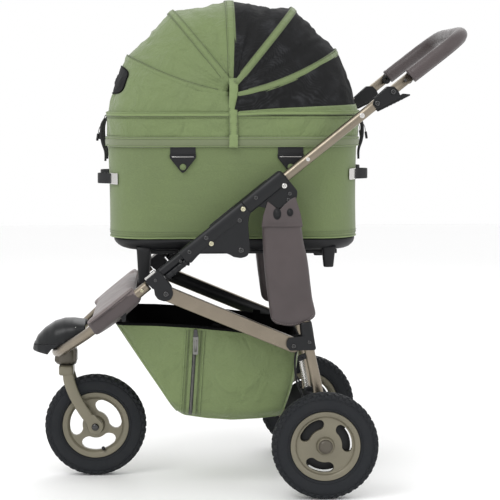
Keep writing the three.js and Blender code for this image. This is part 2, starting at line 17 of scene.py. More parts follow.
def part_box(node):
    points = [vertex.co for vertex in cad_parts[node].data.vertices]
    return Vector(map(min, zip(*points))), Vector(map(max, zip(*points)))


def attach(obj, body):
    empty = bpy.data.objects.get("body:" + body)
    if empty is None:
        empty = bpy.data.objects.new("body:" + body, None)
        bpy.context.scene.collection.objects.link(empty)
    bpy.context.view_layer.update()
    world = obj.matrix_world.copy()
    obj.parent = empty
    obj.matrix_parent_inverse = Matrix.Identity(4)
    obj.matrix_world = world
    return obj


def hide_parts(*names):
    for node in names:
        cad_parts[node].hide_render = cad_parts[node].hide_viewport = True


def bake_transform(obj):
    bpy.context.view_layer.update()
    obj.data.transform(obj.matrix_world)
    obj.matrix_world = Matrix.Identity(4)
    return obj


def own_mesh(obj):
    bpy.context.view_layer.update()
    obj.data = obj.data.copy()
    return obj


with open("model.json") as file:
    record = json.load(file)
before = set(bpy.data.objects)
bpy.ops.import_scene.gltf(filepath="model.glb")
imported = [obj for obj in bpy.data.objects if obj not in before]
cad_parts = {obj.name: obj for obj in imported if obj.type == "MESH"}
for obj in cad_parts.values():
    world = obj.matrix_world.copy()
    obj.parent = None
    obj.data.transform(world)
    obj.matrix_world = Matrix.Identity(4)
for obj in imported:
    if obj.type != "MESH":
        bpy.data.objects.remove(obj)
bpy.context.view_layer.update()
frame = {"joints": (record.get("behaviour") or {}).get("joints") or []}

MM = 0.001
SIDES = (("left", -1), ("right", 1))
JOINT = {j["name"]: [v / MM for v in j["pos_m"]] for j in frame["joints"] if "pos_m" in j}


def node_box(name):
    """Lowest and highest corner of a CAD node, in millimetres."""
    low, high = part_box(name)
    return [v / MM for v in low], [v / MM for v in high]


def pivot(joint):
    """A joint's place in the side view: x and z in millimetres."""
    x, _, z = JOINT[joint]
    return x, z


FOLD = pivot("frame_fold")
HANDLE = pivot("handle_fold")
LEG = pivot("leg_fold")
LINK = pivot("link_fold")
HUB = pivot("hood_front_open")
REAR_AXLE = pivot("rear_wheel_left_spin")
FRONT_AXLE = pivot("front_wheel_spin")
STEER_X = JOINT["fork_swivel"][0]
LINK_END = (94.3, 332.0)
FRAME_Y = 198.0
HANDLE_Y = 196.0
BAR_ORIGIN = (-125.0, 548.0)
SLOPE = math.radians(38.87)


# ---- camera, light and floor ------------------------------------------------------------
def set_stage():
    scene = bpy.context.scene
    camera = bpy.data.objects.new("camera", bpy.data.cameras.new("camera"))
    camera.data.lens = 121.2
    camera.data.sensor_width = 36
    camera.data.clip_end = 50
    camera.location = (-0.17675, -3.8808, 0.90637)
    camera.rotation_euler = (math.radians(90 - 5.617), 0, math.radians(-2.724))
    scene.collection.objects.link(camera)
    scene.camera = camera

    world = bpy.data.worlds.new("studio")
    world.use_nodes = True
    background = world.node_tree.nodes["Background"]
    background.inputs["Color"].default_value = (1, 1, 1, 1)
    background.inputs["Strength"].default_value = 1.0
    scene.world = world
    scene.view_settings.view_transform = "Standard"
    scene.view_settings.look = "None"

    for name, place, size, power in (
        ("key", (-1.8, -2.0, 3.2), 1.8, 44), ("fill", (2.4, -2.0, 2.0), 2.4, 9),
        ("back", (0.6, 2.6, 2.8), 2.4, 22),
    ):
        light = bpy.data.objects.new(name, bpy.data.lights.new(name, "AREA"))
        light.data.size = size
        light.data.energy = power
        light.location = place
        light.rotation_euler = (Vector((0, 0, 0.55)) - Vector(place)).to_track_quat("-Z", "Y").to_euler()
        scene.collection.objects.link(light)

    bpy.ops.mesh.primitive_plane_add(size=14)
    floor = bpy.context.object
    floor.name = "floor"
    material, tree = new_material("studio_floor", (0.96, 0.96, 0.96), 0.6)
    speckle = tree.node("ShaderNodeTexNoise", Scale=60.0, Detail=3.0)
    tree.bump(speckle.outputs["Fac"], 0.05, 0.0005)
    floor.data.materials.append(material)


# ---- materials --------------------------------------------------------------------------
class Tree:
    """Short calls for building a shader tree round the Principled shader."""

    def __init__(self, material):
        material.use_nodes = True
        self.nodes = material.node_tree.nodes
        self.links = material.node_tree.links
        self.shader = self.nodes["Principled BSDF"]
        self.coordinates = self.nodes.new("ShaderNodeTexCoord").outputs["Object"]
        self.last_bump = None

    def node(self, kind, vector=None, **values):
        made = self.nodes.new(kind)
        for name, value in values.items():
            label = name.replace("_", " ")
            if label in made.inputs:
                made.inputs[label].default_value = value
            else:
                setattr(made, name, value)
        if "Vector" in made.inputs and kind.startswith("ShaderNodeTex"):
            self.links.new(vector or self.coordinates, made.inputs["Vector"])
        return made

    def stretched(self, x, y, z):
        mapping = self.nodes.new("ShaderNodeMapping")
        mapping.inputs["Scale"].default_value = (x, y, z)
        self.links.new(self.coordinates, mapping.inputs["Vector"])
        return mapping.outputs["Vector"]

    def ramp(self, source, stops):
        ramp = self.nodes.new("ShaderNodeValToRGB")
        while len(ramp.color_ramp.elements) < len(stops):
            ramp.color_ramp.elements.new(0.5)
        for element, (place, colour) in zip(ramp.color_ramp.elements, stops):
            element.position = place
            element.color = (*colour, 1)
        self.links.new(source, ramp.inputs["Fac"])
        return ramp.outputs["Color"]

    def math(self, operation, a, b):
        made = self.nodes.new("ShaderNodeMath")
        made.operation = operation
        for socket, value in zip(made.inputs, (a, b)):
            if isinstance(value, (int, float)):
                socket.default_value = value
            else:
                self.links.new(value, socket)
        return made.outputs["Value"]

    def colour(self, output):
        self.links.new(output, self.shader.inputs["Base Color"])

    def tint(self, source, colour, *stops):
        """Shades of one colour over a source: each stop is (place, factor)."""
        self.colour(
            self.ramp(source.outputs["Fac"], [(place, shade(colour, factor)) for place, factor in stops])
        )

    def roughness(self, source, low, high):
        grey = self.ramp(source, [(0.3, (low,) * 3), (0.7, (high,) * 3)])
        self.links.new(grey, self.shader.inputs["Roughness"])

    def bump(self, height, strength, distance):
        made = self.nodes.new("ShaderNodeBump")
        made.inputs["Strength"].default_value = strength
        made.inputs["Distance"].default_value = distance
        self.links.new(height, made.inputs["Height"])
        if self.last_bump:
            self.links.new(self.last_bump, made.inputs["Normal"])
        self.last_bump = made.outputs["Normal"]
        self.links.new(self.last_bump, self.shader.inputs["Normal"])


def new_material(name, colour, roughness, metallic=0.0, **sockets):
    material = bpy.data.materials.new(name)
    tree = Tree(material)
    tree.shader.inputs["Base Color"].default_value = (*colour, 1)
    tree.shader.inputs["Roughness"].default_value = roughness
    tree.shader.inputs["Metallic"].default_value = metallic
    for socket, value in sockets.items():
        tree.shader.inputs[socket.replace("_", " ")].default_value = value
    return material, tree


def shade(colour, factor):
    return tuple(min(1.0, c * factor) for c in colour)


def thread_pattern(tree, pitch):
    """A plain weave: threads crossing at the given pitch in metres, on faces of any direction."""
    scale = 2 * math.pi / (20 * pitch)
    waves = [
        tree.node(
            "ShaderNodeTexWave", bands_direction=axis, Scale=scale, Distortion=0.6, Detail=1.0
        ).outputs["Fac"]
        for axis in ("X", "Y", "Z")
    ]
    pairs = [tree.math("MULTIPLY", waves[i], waves[(i + 1) % 3]) for i in range(3)]
    return tree.math("ADD", tree.math("ADD", pairs[0], pairs[1]), pairs[2])


def fabric(name, colour, pitch=0.0011, melange=0.16, crease=0.25, sheen=0.25):
    material, tree = new_material(name, colour, 0.8, Sheen_Weight=sheen, Sheen_Roughness=0.5)
    slub = tree.node(
        "ShaderNodeTexNoise", tree.stretched(260, 260, 900), Scale=1.0, Detail=4.0, Roughness=0.7
    )
    cloud = tree.node("ShaderNodeTexNoise", Scale=9.0, Detail=3.0)
    mixed = tree.math("ADD", tree.math("MULTIPLY", slub.outputs["Fac"], 0.65),
                      tree.math("MULTIPLY", cloud.outputs["Fac"], 0.35))
    tree.colour(
        tree.ramp(
            mixed, [(0.3, shade(colour, 1 - melange)), (0.52, colour), (0.72, shade(colour, 1 + melange))]
        )
    )
    tree.roughness(cloud.outputs["Fac"], 0.68, 0.86)
    crinkle = tree.node("ShaderNodeTexNoise", Scale=17.0, Detail=4.0, Roughness=0.5, Distortion=0.6)
    tree.bump(crinkle.outputs["Fac"], crease, 0.016)
    tree.bump(thread_pattern(tree, pitch), 0.35, 0.0003)
    return material


def netting(name):
    colour = (0.0068, 0.0070, 0.0076)
    material, tree = new_material(name, colour, 0.8, Specular_IOR_Level=0.25)
    holes = thread_pattern(tree, 0.0019)
    cloud = tree.node("ShaderNodeTexNoise", Scale=26.0, Detail=5.0, Roughness=0.65)
    # Colour mix of the weave and a cloud noise: the weave and the darker patches are the net's own random
    # tone, while the bright patches, up to 5.5 times the base colour, are painted glints on the threads.
    grain = tree.math(
        "ADD", tree.math("MULTIPLY", holes, 0.1), tree.math("MULTIPLY", cloud.outputs["Fac"], 0.9)
    )
    tree.colour(tree.ramp(grain, [(0.3, shade(colour, 0.5)), (0.55, colour), (0.8, shade(colour, 5.5))]))
    tree.roughness(cloud.outputs["Fac"], 0.7, 0.9)
    tree.bump(cloud.outputs["Fac"], 0.45, 0.012)
    tree.bump(holes, 0.3, 0.0003)
    return material


def leather(name, colour):
    material, tree = new_material(name, colour, 0.5, Sheen_Weight=0.12, Coat_Weight=0.06)
    pebble = tree.node("ShaderNodeTexVoronoi", feature="SMOOTH_F1", Scale=820.0)
    crease = tree.node("ShaderNodeTexNoise", Scale=34.0, Detail=4.0)
    worn = tree.node("ShaderNodeTexNoise", Scale=8.0, Detail=3.0)
    tree.tint(worn, colour, (0.3, 0.82), (0.55, 1), (0.78, 1.2))
    tree.roughness(crease.outputs["Fac"], 0.42, 0.62)
    tree.bump(crease.outputs["Fac"], 0.18, 0.003)
    tree.bump(pebble.outputs["Distance"], 0.4, 0.0005)
    return material


def metal(name, colour, roughness, brushed=0.25):
    material, tree = new_material(name, colour, roughness, 1.0)
    lines = tree.node("ShaderNodeTexNoise", tree.stretched(70, 900, 70), Scale=1.0, Detail=5.0)
    cloud = tree.node("ShaderNodeTexNoise", Scale=14.0, Detail=3.0)
    tree.tint(cloud, colour, (0.3, 0.9), (0.7, 1.08))
    tree.roughness(lines.outputs["Fac"], roughness * (1 - brushed), roughness * (1 + brushed))
    tree.bump(lines.outputs["Fac"], 0.06, 0.0002)
    return material


def painted(name, colour, roughness=0.38):
    material, tree = new_material(name, colour, roughness, 0.35, Coat_Weight=0.15)
    orange_peel = tree.node("ShaderNodeTexNoise", Scale=420.0, Detail=2.0)
    cloud = tree.node("ShaderNodeTexNoise", Scale=16.0, Detail=4.0)
    tree.tint(cloud, colour, (0.3, 0.9), (0.7, 1.08))
    tree.roughness(cloud.outputs["Fac"], roughness - 0.06, roughness + 0.1)
    tree.bump(orange_peel.outputs["Fac"], 0.12, 0.0003)
    return material


def plastic(name, colour, roughness=0.5, grain=520.0, shine=0.32):
    material, tree = new_material(name, colour, roughness, Specular_IOR_Level=shine)
    spark = tree.node("ShaderNodeTexNoise", Scale=grain, Detail=3.0)
    cloud = tree.node("ShaderNodeTexNoise", Scale=12.0, Detail=3.0)
    tree.tint(cloud, colour, (0.3, 0.85), (0.7, 1.15))
    tree.roughness(cloud.outputs["Fac"], roughness - 0.08, roughness + 0.1)
    tree.bump(spark.outputs["Fac"], 0.22, 0.0004)
    return material


def rubber(name):
    colour = (0.0125, 0.0142, 0.0172)
    material, tree = new_material(name, colour, 0.78, Specular_IOR_Level=0.35)
    dust = tree.node("ShaderNodeTexNoise", Scale=30.0, Detail=6.0, Roughness=0.7)
    tree.colour(
        tree.ramp(
            dust.outputs["Fac"], [(0.35, shade(colour, 0.8)), (0.6, colour), (0.85, (0.03, 0.031, 0.033))]
        )
    )
    tree.roughness(dust.outputs["Fac"], 0.66, 0.9)
    fine = tree.node("ShaderNodeTexNoise", Scale=700.0, Detail=2.0)
    tree.bump(fine.outputs["Fac"], 0.25, 0.0004)
    return material


def webbing(name, colour, sheen=0.2, shine=0.3):
    material, tree = new_material(name, colour, 0.7, Sheen_Weight=sheen, Specular_IOR_Level=shine)
    ribs = tree.node("ShaderNodeTexWave", bands_direction="DIAGONAL", Scale=190.0, Distortion=0.4)
    tree.tint(ribs, colour, (0.2, 0.7), (0.8, 1.5))
    tree.roughness(ribs.outputs["Fac"], 0.6, 0.8)
    tree.bump(ribs.outputs["Fac"], 0.5, 0.0006)
    return material


GREEN = (0.150, 0.200, 0.080)
MAT = {
    "green": fabric("green_canvas", GREEN, crease=0.9),
    "green_band": fabric("green_binding", shade(GREEN, 1.25), 0.0008, 0.1, 0.15),
    "green_panel": fabric("green_wall_canvas", shade(GREEN, 0.9), 0.0013, 0.2, 0.12),
    "rim_band": fabric("rim_binding", (0.15, 0.18, 0.095), 0.0009, 0.1, 0.2, 0.35),
    "lining": fabric("grey_lining", (0.08, 0.085, 0.08), 0.0014, 0.2, 0.1),
    "net": netting("black_netting"),
    "leather": leather("brown_leather", (0.060, 0.0455, 0.046)),
    # A lighter copy of the brown leather with painted light, for the upward faces of the front pad; its side
    # and under faces keep the darker leather as painted shade.
    "leather_painted_lit": leather("brown_leather_sunlit", (0.165, 0.132, 0.128)),
    "thread": fabric("stitch_thread", (0.15, 0.13, 0.125), 0.0006, 0.1, 0.1),
    "green_thread": fabric("green_thread", shade(GREEN, 0.55), 0.0006, 0.1, 0.1),
    "champagne": metal("champagne_anodised", (0.25, 0.215, 0.168), 0.34),
    "rim": painted("khaki_paint", (0.185, 0.168, 0.12)),
    "bronze": painted("dark_bronze_paint", (0.085, 0.074, 0.056)),
    "black": plastic("black_casting", (0.0062, 0.0068, 0.0082), 0.4),
    "black_soft": plastic("black_moulding", (0.0055, 0.0058, 0.007), 0.5, 300.0),
    "gloss": plastic("black_gloss", (0.0065, 0.0072, 0.0082), 0.34, 200.0),
    "tyre": rubber("tyre_rubber"),
    "chrome": metal("chrome_plate", (0.62, 0.61, 0.59), 0.2, 0.3),
    "satin": metal("satin_plate", (0.22, 0.22, 0.205), 0.38, 0.3),
    "brass": metal("brass_rivet", (0.58, 0.55, 0.40), 0.26, 0.2),
    "bolt": plastic("black_oxide", (0.003, 0.003, 0.004), 0.17, 300.0, 0.9),
    "strap": webbing("black_webbing", (0.011, 0.0115, 0.0125)),
    "band": webbing("basket_binding", (0.0016, 0.0017, 0.0018), 0.0, 0.08),
}
SLOT = {material: slot for slot, materials in {
    "green_fabric": ("green", "green_band", "green_panel", "rim_band", "green_thread"),
    "mesh_fabric": ("lining", "net", "strap", "band"),
    "leather": ("leather", "leather_painted_lit", "thread"),
    "champagne_metal": ("champagne",),
    "rim_paint": ("rim", "bronze"),
    "black_plastic": ("black", "black_soft", "gloss"),
    "tyre_rubber": ("tyre",),
    "steel": ("chrome", "satin", "brass", "bolt"),
}.items() for material in materials}


# ---- mesh helpers -----------------------------------------------------------------------
def make(name, vertices, faces, material, smooth=True, body=None, replaces=()):
    """A mesh object from points in millimetres, with its finish, its body and the CAD nodes it stands for."""
    mesh = bpy.data.meshes.new(name)
    mesh.from_pydata([tuple(float(c) * MM for c in v) for v in vertices], [], faces)
    mesh.validate()
    piece = bpy.data.objects.new(name, mesh)
    bpy.context.scene.collection.objects.link(piece)
    tidy = bmesh.new()
    tidy.from_mesh(mesh)
    bmesh.ops.remove_doubles(tidy, verts=tidy.verts, dist=1e-6)
    bmesh.ops.recalc_face_normals(tidy, faces=tidy.faces)
    tidy.to_mesh(mesh)
    tidy.free()
    mesh.materials.append(MAT[material])
    if smooth:
        for polygon in mesh.polygons:
            polygon.use_smooth = True
    return declare(piece, body, *replaces)


def declare(piece, body=None, *replaces):
    """Says which body a piece rides on and which CAD nodes it stands for."""
    if body:
        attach(piece, body)
    if replaces:
        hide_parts(*replaces)
    return piece


def apply_modifiers(piece):
    graph = bpy.context.evaluated_depsgraph_get()
    mesh = bpy.data.meshes.new_from_object(piece.evaluated_get(graph))
    piece.modifiers.clear()
    piece.data = mesh


def bevel(piece, width, segments=2, angle=35):
    modifier = piece.modifiers.new("edges", "BEVEL")
    modifier.width = width * MM
    modifier.segments = segments
    modifier.limit_method = "ANGLE"
    modifier.angle_limit = math.radians(angle)
    modifier.harden_normals = False
    normals = piece.modifiers.new("normals", "WEIGHTED_NORMAL")
    normals.keep_sharp = False
    return piece


def thicken(piece, thickness, offset=0):
    """Gives a sheet its thickness, about its middle or to one side."""
    solidify = piece.modifiers.new("cloth_thickness", "SOLIDIFY")
    solidify.thickness = thickness * MM
    solidify.offset = offset


def turns(count):
    """Evenly spread angles once round."""
    return np.linspace(0, 2 * math.pi, count, endpoint=False)


def spline(points, count, closed=False):
    """A smooth curve through the points, as count points evenly spread along it."""
    p = np.array(points, float)
    n = len(p)
    if closed:
        padded = np.vstack([p[-1], p, p[0], p[1]])
        spans = n
    else:
        padded = np.vstack([2 * p[0] - p[1], p, 2 * p[-1] - p[-2]])
        spans = n - 1
    fine = []
    for i in range(spans):
        a, b, c, d = padded[i : i + 4]
        for t in np.linspace(0, 1, 24, endpoint=False):
            bend, twist = 2 * a - 5 * b + 4 * c - d, 3 * b - a - 3 * c + d
            fine.append(0.5 * (2 * b + (c - a) * t + bend * t**2 + twist * t**3))
    fine.append(p[0] if closed else p[-1])
    fine = np.array(fine)
    lengths = np.concatenate([[0], np.cumsum(np.linalg.norm(np.diff(fine, axis=0), axis=1))])
    wanted = np.linspace(0, lengths[-1], count, endpoint=not closed)
    return np.column_stack([np.interp(wanted, lengths, fine[:, k]) for k in range(p.shape[1])])


def section(width, height, power=2.0, count=24):
    """A rounded cross section: power 2 is an ellipse, 4 or more a rounded rectangle."""
    cos, sin = np.cos(turns(count)), np.sin(turns(count))
    return np.column_stack(
        [
            np.sign(cos) * np.abs(cos) ** (2 / power) * width / 2,
            np.sign(sin) * np.abs(sin) ** (2 / power) * height / 2,
        ]
    )


def loft(name, rings, material, closed=False, **where):
    """One skin over a row of rings of points, closed on itself or capped at both ends."""
    count, m = len(rings), len(rings[0])
    faces = []
    for k in range(count if closed else count - 1):
        near, far = k * m, (k + 1) % count * m
        faces += [(near + i, near + (i + 1) % m, far + (i + 1) % m, far + i) for i in range(m)]
    if not closed:
        faces += [tuple(range(m))[::-1], tuple(range((count - 1) * m, count * m))]
    return make(name, np.vstack(rings), faces, material, **where)


def sweep(name, path, outline, material, side=(0, 1, 0), scales=None, closed=False, **where):
    """Carries an outline along a path: its first number runs along side, its second across it."""
    path = np.array(path, float)
    count = len(path)
    tangents = np.gradient(path, axis=0)
    if closed:
        tangents = np.roll(path, -1, 0) - np.roll(path, 1, 0)
    tangents /= np.linalg.norm(tangents, axis=1)[:, None]
    across = np.array(side, float)
    rings = []
    for k in range(count):
        across = across - tangents[k] * across.dot(tangents[k])
        across /= np.linalg.norm(across)
        up = np.cross(across, tangents[k])
        grow = 1.0 if scales is None else scales[k]
        rings.append(path[k] + grow * (outline[:, :1] * across + outline[:, 1:] * up))
    return loft(name, rings, material, closed, **where)


def rod(name, a, b, radius, material, ends=1.0, count=24, **where):
    """A straight round bar with its end edges rounded."""
    a, b = np.array(a, float), np.array(b, float)
    step = (b - a) / np.linalg.norm(b - a)
    path = [a, a + step * ends * 0.4, a + step * ends, b - step * ends, b - step * ends * 0.4, b]
    scales = [1 - ends / radius, 1 - 0.3 * ends / radius, 1, 1, 1 - 0.3 * ends / radius, 1 - ends / radius]
    side = (0, 1, 0) if abs(step[1]) < 0.9 else (1, 0, 0)
    return sweep(name, path, section(2 * radius, 2 * radius, 2, count), material, side, scales, **where)


def lathe(name, profile, centre, material, axis="Y", segments=64, **where):
    """Turns a profile of (radius, along) pairs about an axis through centre."""
    profile = np.array(profile, float)
    vertices = []
    for angle in turns(segments):
        for r, along in profile:
            u, v = r * math.cos(angle), r * math.sin(angle)
            offset = {"X": (along, u, v), "Y": (u, along, v), "Z": (u, v, along)}[axis]
            vertices.append(np.add(centre, offset))
    m = len(profile)
    faces = []
    for i in range(segments):
        j = (i + 1) % segments
        for k in range(m - 1):
            faces.append((i * m + k, j * m + k, j * m + k + 1, i * m + k + 1))
    return make(name, vertices, faces, material, **where)


def fillet(outline, radius, steps=5):
    """Rounds the corners of a closed outline; radius is one number or one for each corner."""
    points = [np.array(p, float) for p in outline]
    radii = [radius] * len(points) if np.isscalar(radius) else radius
    rounded = []
    for i, corner in enumerate(points):
        before, after = points[i - 1], points[(i + 1) % len(points)]
        a, b = before - corner, after - corner
        la, lb = np.linalg.norm(a), np.linalg.norm(b)
        half = math.acos(np.clip(a.dot(b) / (la * lb), -1, 1)) / 2
        cut = min(radii[i] / max(math.tan(half), 1e-3), 0.45 * la, 0.45 * lb)
        if cut < 0.05:
            rounded.append(corner)
            continue
        start, end = corner + a / la * cut, corner + b / lb * cut
        for t in np.linspace(0, 1, steps + 1):
            rounded.append((1 - t) ** 2 * start + 2 * t * (1 - t) * corner + t**2 * end)
    return rounded


def slab(name, outline, near, far, side, material, edge=1.2, segments=2, **where):
    """A flat piece cut from plate: outline in x and z, between two distances out from the middle."""
    n = len(outline)
    vertices = [(x, side * near, z) for x, z in outline] + [(x, side * far, z) for x, z in outline]
    faces = [tuple(range(n)), tuple(range(n, 2 * n))[::-1]]
    faces += [(i, (i + 1) % n, n + (i + 1) % n, n + i) for i in range(n)]
    piece = make(name, vertices, faces, material, **where)
    return bevel(piece, edge, segments) if edge else piece


def capsule(a, b, ra, rb=None, steps=14):
    """The outline round two discs."""
    rb = ra if rb is None else rb
    angle = math.atan2(b[1] - a[1], b[0] - a[0])
    lean = math.acos((ra - rb) / math.dist(a, b))
    points = []
    for i in range(steps + 1):
        t = angle - lean + 2 * lean * i / steps
        points.append((b[0] + rb * math.cos(t), b[1] + rb * math.sin(t)))
    for i in range(steps + 1):
        t = angle + lean + (2 * math.pi - 2 * lean) * i / steps
        points.append((a[0] + ra * math.cos(t), a[1] + ra * math.sin(t)))
    return points


def grid(name, columns, rows, point, material, thickness=None, close_u=False, **where):
    """A surface over u and v from 0 to 1, made into a sheet when a thickness is given."""
    vertices = [
        point(i / columns, j / rows)
        for i in range(columns + (0 if close_u else 1)) for j in range(rows + 1)
    ]
    stride = rows + 1
    total = columns if close_u else columns + 1
    faces = [
        (
            i * stride + j, ((i + 1) % total) * stride + j, ((i + 1) % total) * stride + j + 1,
            i * stride + j + 1
        )
        for i in range(columns) for j in range(rows)
    ]
    piece = make(name, vertices, faces, material, **where)
    if thickness:
        thicken(piece, thickness)
    return piece


def join(name, pieces, body=None, *replaces):
    """Joins mesh objects that ride on one body into the first of them."""
    for piece in pieces:
        if piece.modifiers:
            apply_modifiers(piece)
    bpy.ops.object.select_all(action="DESELECT")
    for piece in pieces:
        piece.select_set(True)
    bpy.context.view_layer.objects.active = pieces[0]
    bpy.ops.object.join()
    pieces[0].name = name
    return declare(pieces[0], body, *replaces)


def stitch_line(name, path, material="thread", pitch=4.2, length=2.8, radius=0.45, **where):
    """A row of thread stitches lying along a path."""
    path = np.array(path, float)
    lengths = np.concatenate([[0], np.cumsum(np.linalg.norm(np.diff(path, axis=0), axis=1))])
    starts = np.arange(pitch / 2, lengths[-1] - length, pitch)
    at = lambda s: np.array([np.interp(s, lengths, path[:, k]) for k in range(3)])
    vertices, faces = [], []
    for s in starts:
        a, b = at(s), at(s + length)
        along = (b - a) / np.linalg.norm(b - a)
        across = np.cross(along, (0.3, 0.2, 1.0))
        across /= np.linalg.norm(across)
        up = np.cross(along, across)
        base = len(vertices)
        for centre, grow in ((a, 0.35), (a + along * 0.5, 1), (b - along * 0.5, 1), (b, 0.35)):
            for k in range(5):
                t = 2 * math.pi * k / 5
                vertices.append(centre + radius * grow * (math.cos(t) * across + math.sin(t) * up))
        for ring in range(3):
            for k in range(5):
                p, q = base + ring * 5 + k, base + ring * 5 + (k + 1) % 5
                faces.append((p, q, q + 5, p + 5))
        faces.append(tuple(base + k for k in range(5))[::-1])
        faces.append(tuple(base + 15 + k for k in range(5)))
    return make(name, vertices, faces, material, **where)


def screw(name, place, distance, side, radius, material, body, height=None):
    """A button-head screw standing out from a plate at a distance from the middle."""
    height = height or radius * 0.55
    socket = radius * 0.42
    profile = [
        (0, 0.25), (socket, 0.25), (socket, 0.92), (radius * 0.62, 1.0), (radius * 0.86, 0.78), (radius, 0.3),
        (radius, -0.15)
    ]
    profile = [(r, side * (distance + h * height)) for r, h in profile]
    return lathe(name, profile, (place[0], 0, place[1]), material, segments=24, body=body)


def on_bar(s, n):
    """A point s along the side bar and n above its axis, in x and z."""
    cos, sin = math.cos(SLOPE), math.sin(SLOPE)
    return (BAR_ORIGIN[0] + s * cos - n * sin, BAR_ORIGIN[1] + s * sin + n * cos)


def at_side(point, side, y):
    return (point[0], side * y, point[1])


# ---- wheels, fork and front end ---------------------------------------------------------
def tyre(label, centre, bead, body, replaces):
    """A tyre with a rounded carcass, shoulder ribs and rows of small tread blocks."""
    x, y, z = centre
    radius, half = z, 21.4
    carcass = [
        (bead, 10), (bead + 0.4, 14.2), (bead + 3, 16.6), (bead + 9, 19.2), (93, 20.6), (101, half),
        (107.5, 20.6)
    ]
    carcass += [(112, 17.6), (114.6, 12), (115.6, 6)]
    profile = [(r, y - w) for r, w in carcass] + [(115.8, y)] + [(r, y + w) for r, w in reversed(carcass)]
    body_mesh = lathe(f"tyre_{label}", profile + [profile[0]], (x, 0, z), "tyre", segments=96)
    rings = [body_mesh]
    for side in (-1, 1):
        for r, w in ((bead + 5, 17.8), (104.2, 21.1)):
            cord = [
                (r + 0.9 * math.cos(t), y + side * w + 0.9 * math.sin(t))
                for t in np.linspace(0, 2 * math.pi, 9)
            ]
            rings.append(lathe(f"tyre_rib_{label}", cord, (x, 0, z), "tyre", segments=96))
    vertices, faces = [], []
    count = 44
    rows = ((0, 8.4, 0.0), (12.2, 6.4, 0.5), (-12.2, 6.4, 0.5), (18.6, 3.2, 0.0), (-18.6, 3.2, 0.0))
    for across, half_width, shift in rows:
        top = radius - 0.25 - (abs(across) / 12.2) ** 2 * 1.5
        bottom = top - 3.4 - 0.2 * abs(across)
        if abs(across) > 15:
            top, bottom = radius - 5.2, radius - 11
        for k in range(count):
            middle = 2 * math.pi * (k + shift) / count
            sweep_angle = 2 * math.pi / count * 0.34
            base = len(vertices)
            for r in (bottom, top):
                taper = 1.0 if r == bottom else 0.82
                for da, dw in ((-1, -1), (1, -1), (1, 1), (-1, 1)):
                    skew = 0.35 * dw if across else 0
                    angle = middle + sweep_angle * taper * (da + skew)
                    vertices.append(
                        (
                            x + r * math.cos(angle), y + across + dw * half_width * taper,
                            z + r * math.sin(angle)
                        )
                    )
            faces += [(base + a, base + b, base + c, base + d) for a, b, c, d in
                      ((0, 1, 5, 4), (1, 2, 6, 5), (2, 3, 7, 6), (3, 0, 4, 7), (4, 5, 6, 7), (3, 2, 1, 0))]
    blocks = make(f"tread_{label}", vertices, faces, "tyre", smooth=False)
    bevel(blocks, 0.45, 1)
    join(f"tyre_{label}", rings + [blocks], body, *replaces)


def ring_sector(inner, outer, middle, spread, steps=20):
    """A curved slot with rounded ends, as angle and radius turned into x and z about a hub."""
    half = math.radians(spread) / 2
    start = math.radians(middle)
    cap = (outer - inner) / 2
    centre = (outer + inner) / 2
    ends = half - cap / centre
    points = [(outer, start + a) for a in np.linspace(-ends, ends, steps)]
    points += [
        (centre + cap * math.cos(t), start + ends + cap * math.sin(t) / centre)
        for t in np.linspace(0.2, math.pi - 0.2, 7)
    ]
    points += [(inner, start + a) for a in np.linspace(ends, -ends, steps)]
    points += [
        (centre - cap * math.cos(t), start - ends - cap * math.sin(t) / centre)
        for t in np.linspace(0.2, math.pi - 0.2, 7)
    ]
    return [(r * math.cos(a), r * math.sin(a)) for r, a in points]


def cut_with(piece, cutters):
    for cutter in cutters:
        modifier = piece.modifiers.new("slot", "BOOLEAN")
        modifier.operation = "DIFFERENCE"
        modifier.solver = "EXACT"
        modifier.object = cutter
    apply_modifiers(piece)
    for cutter in cutters:
        bpy.data.objects.remove(cutter)
    return piece


def rim(label, centre, face, outer_face, slots, slot_radii, spread, body, replaces):
    """A cast wheel: a web with curved slots, stepped flanges and a hub.

    outer_face is the section from the hub out to the flange, as (radius, distance from the middle plane);
    face is -1 or 1 for the side that shows, or 0 for a wheel alike on both sides.
    """
    x, y, z = centre
    profile = [(r, y + w) for r, w in outer_face] + [(81, y + 10), (81, y - 10)]
    profile += [(r, y - w) for r, w in reversed(outer_face)] + [(outer_face[0][0], y + outer_face[0][1])]
    web = lathe(f"rim_{label}", profile, (x, 0, z), "rim", segments=96)
    cutters = []
    for middle in slots:
        outline = [(x + px, z + pz) for px, pz in ring_sector(*slot_radii, middle, spread)]
        cutters.append(slab("cutter", outline, y - 30, y + 30, 1, "rim", 0))
    cut_with(web, cutters)
    bevel(web, 1.3, 3, 50)
    hub = [(6.5, 16.8), (16.5, 16.8), (18.6, 15.2), (18.8, 8), (22.5, 5.6)]
    hub = [(r, y - w) for r, w in hub] + [(r, y + w) for r, w in reversed(hub)] + [(6.5, y - 16.8)]
    pieces = [web, lathe(f"hub_{label}", hub, (x, 0, z), "rim", segments=48)]
    whole = join(f"rim_{label}", pieces)
    for polygon in whole.data.polygons:
        polygon.use_smooth = True
    whole.modifiers.new("normals", "WEIGHTED_NORMAL")
    declare(whole, body, *replaces)
    if face:
        disc = [(14, -6.6), (55, -7.4), (56.5, -8.4), (56, -10), (14, -10)]
        lathe(
            f"hub_plate_{label}", [(r, y + face * w) for r, w in disc], (x, 0, z), "black_soft", segments=64,
            body=body
        )


def valve(label, centre, angle, side, body):
    """A bent metal valve with a black cap, inside the rim."""
    x, y, z = centre
    out = np.array((math.cos(angle), 0, math.sin(angle)))
    at = lambda r, w: np.array((x, y, z)) + out * r + np.array((0, side * w, 0))
    sweep(
        f"valve_{label}", spline([at(72, 6), at(66, 6), at(61, 9), at(58, 14)], 14), section(5, 5), "chrome",
        (0, 1, 0), body=body
    )
    rod(f"valve_cap_{label}", at(59.5, 11.5), at(55, 19), 4.0, "black_soft", body=body)


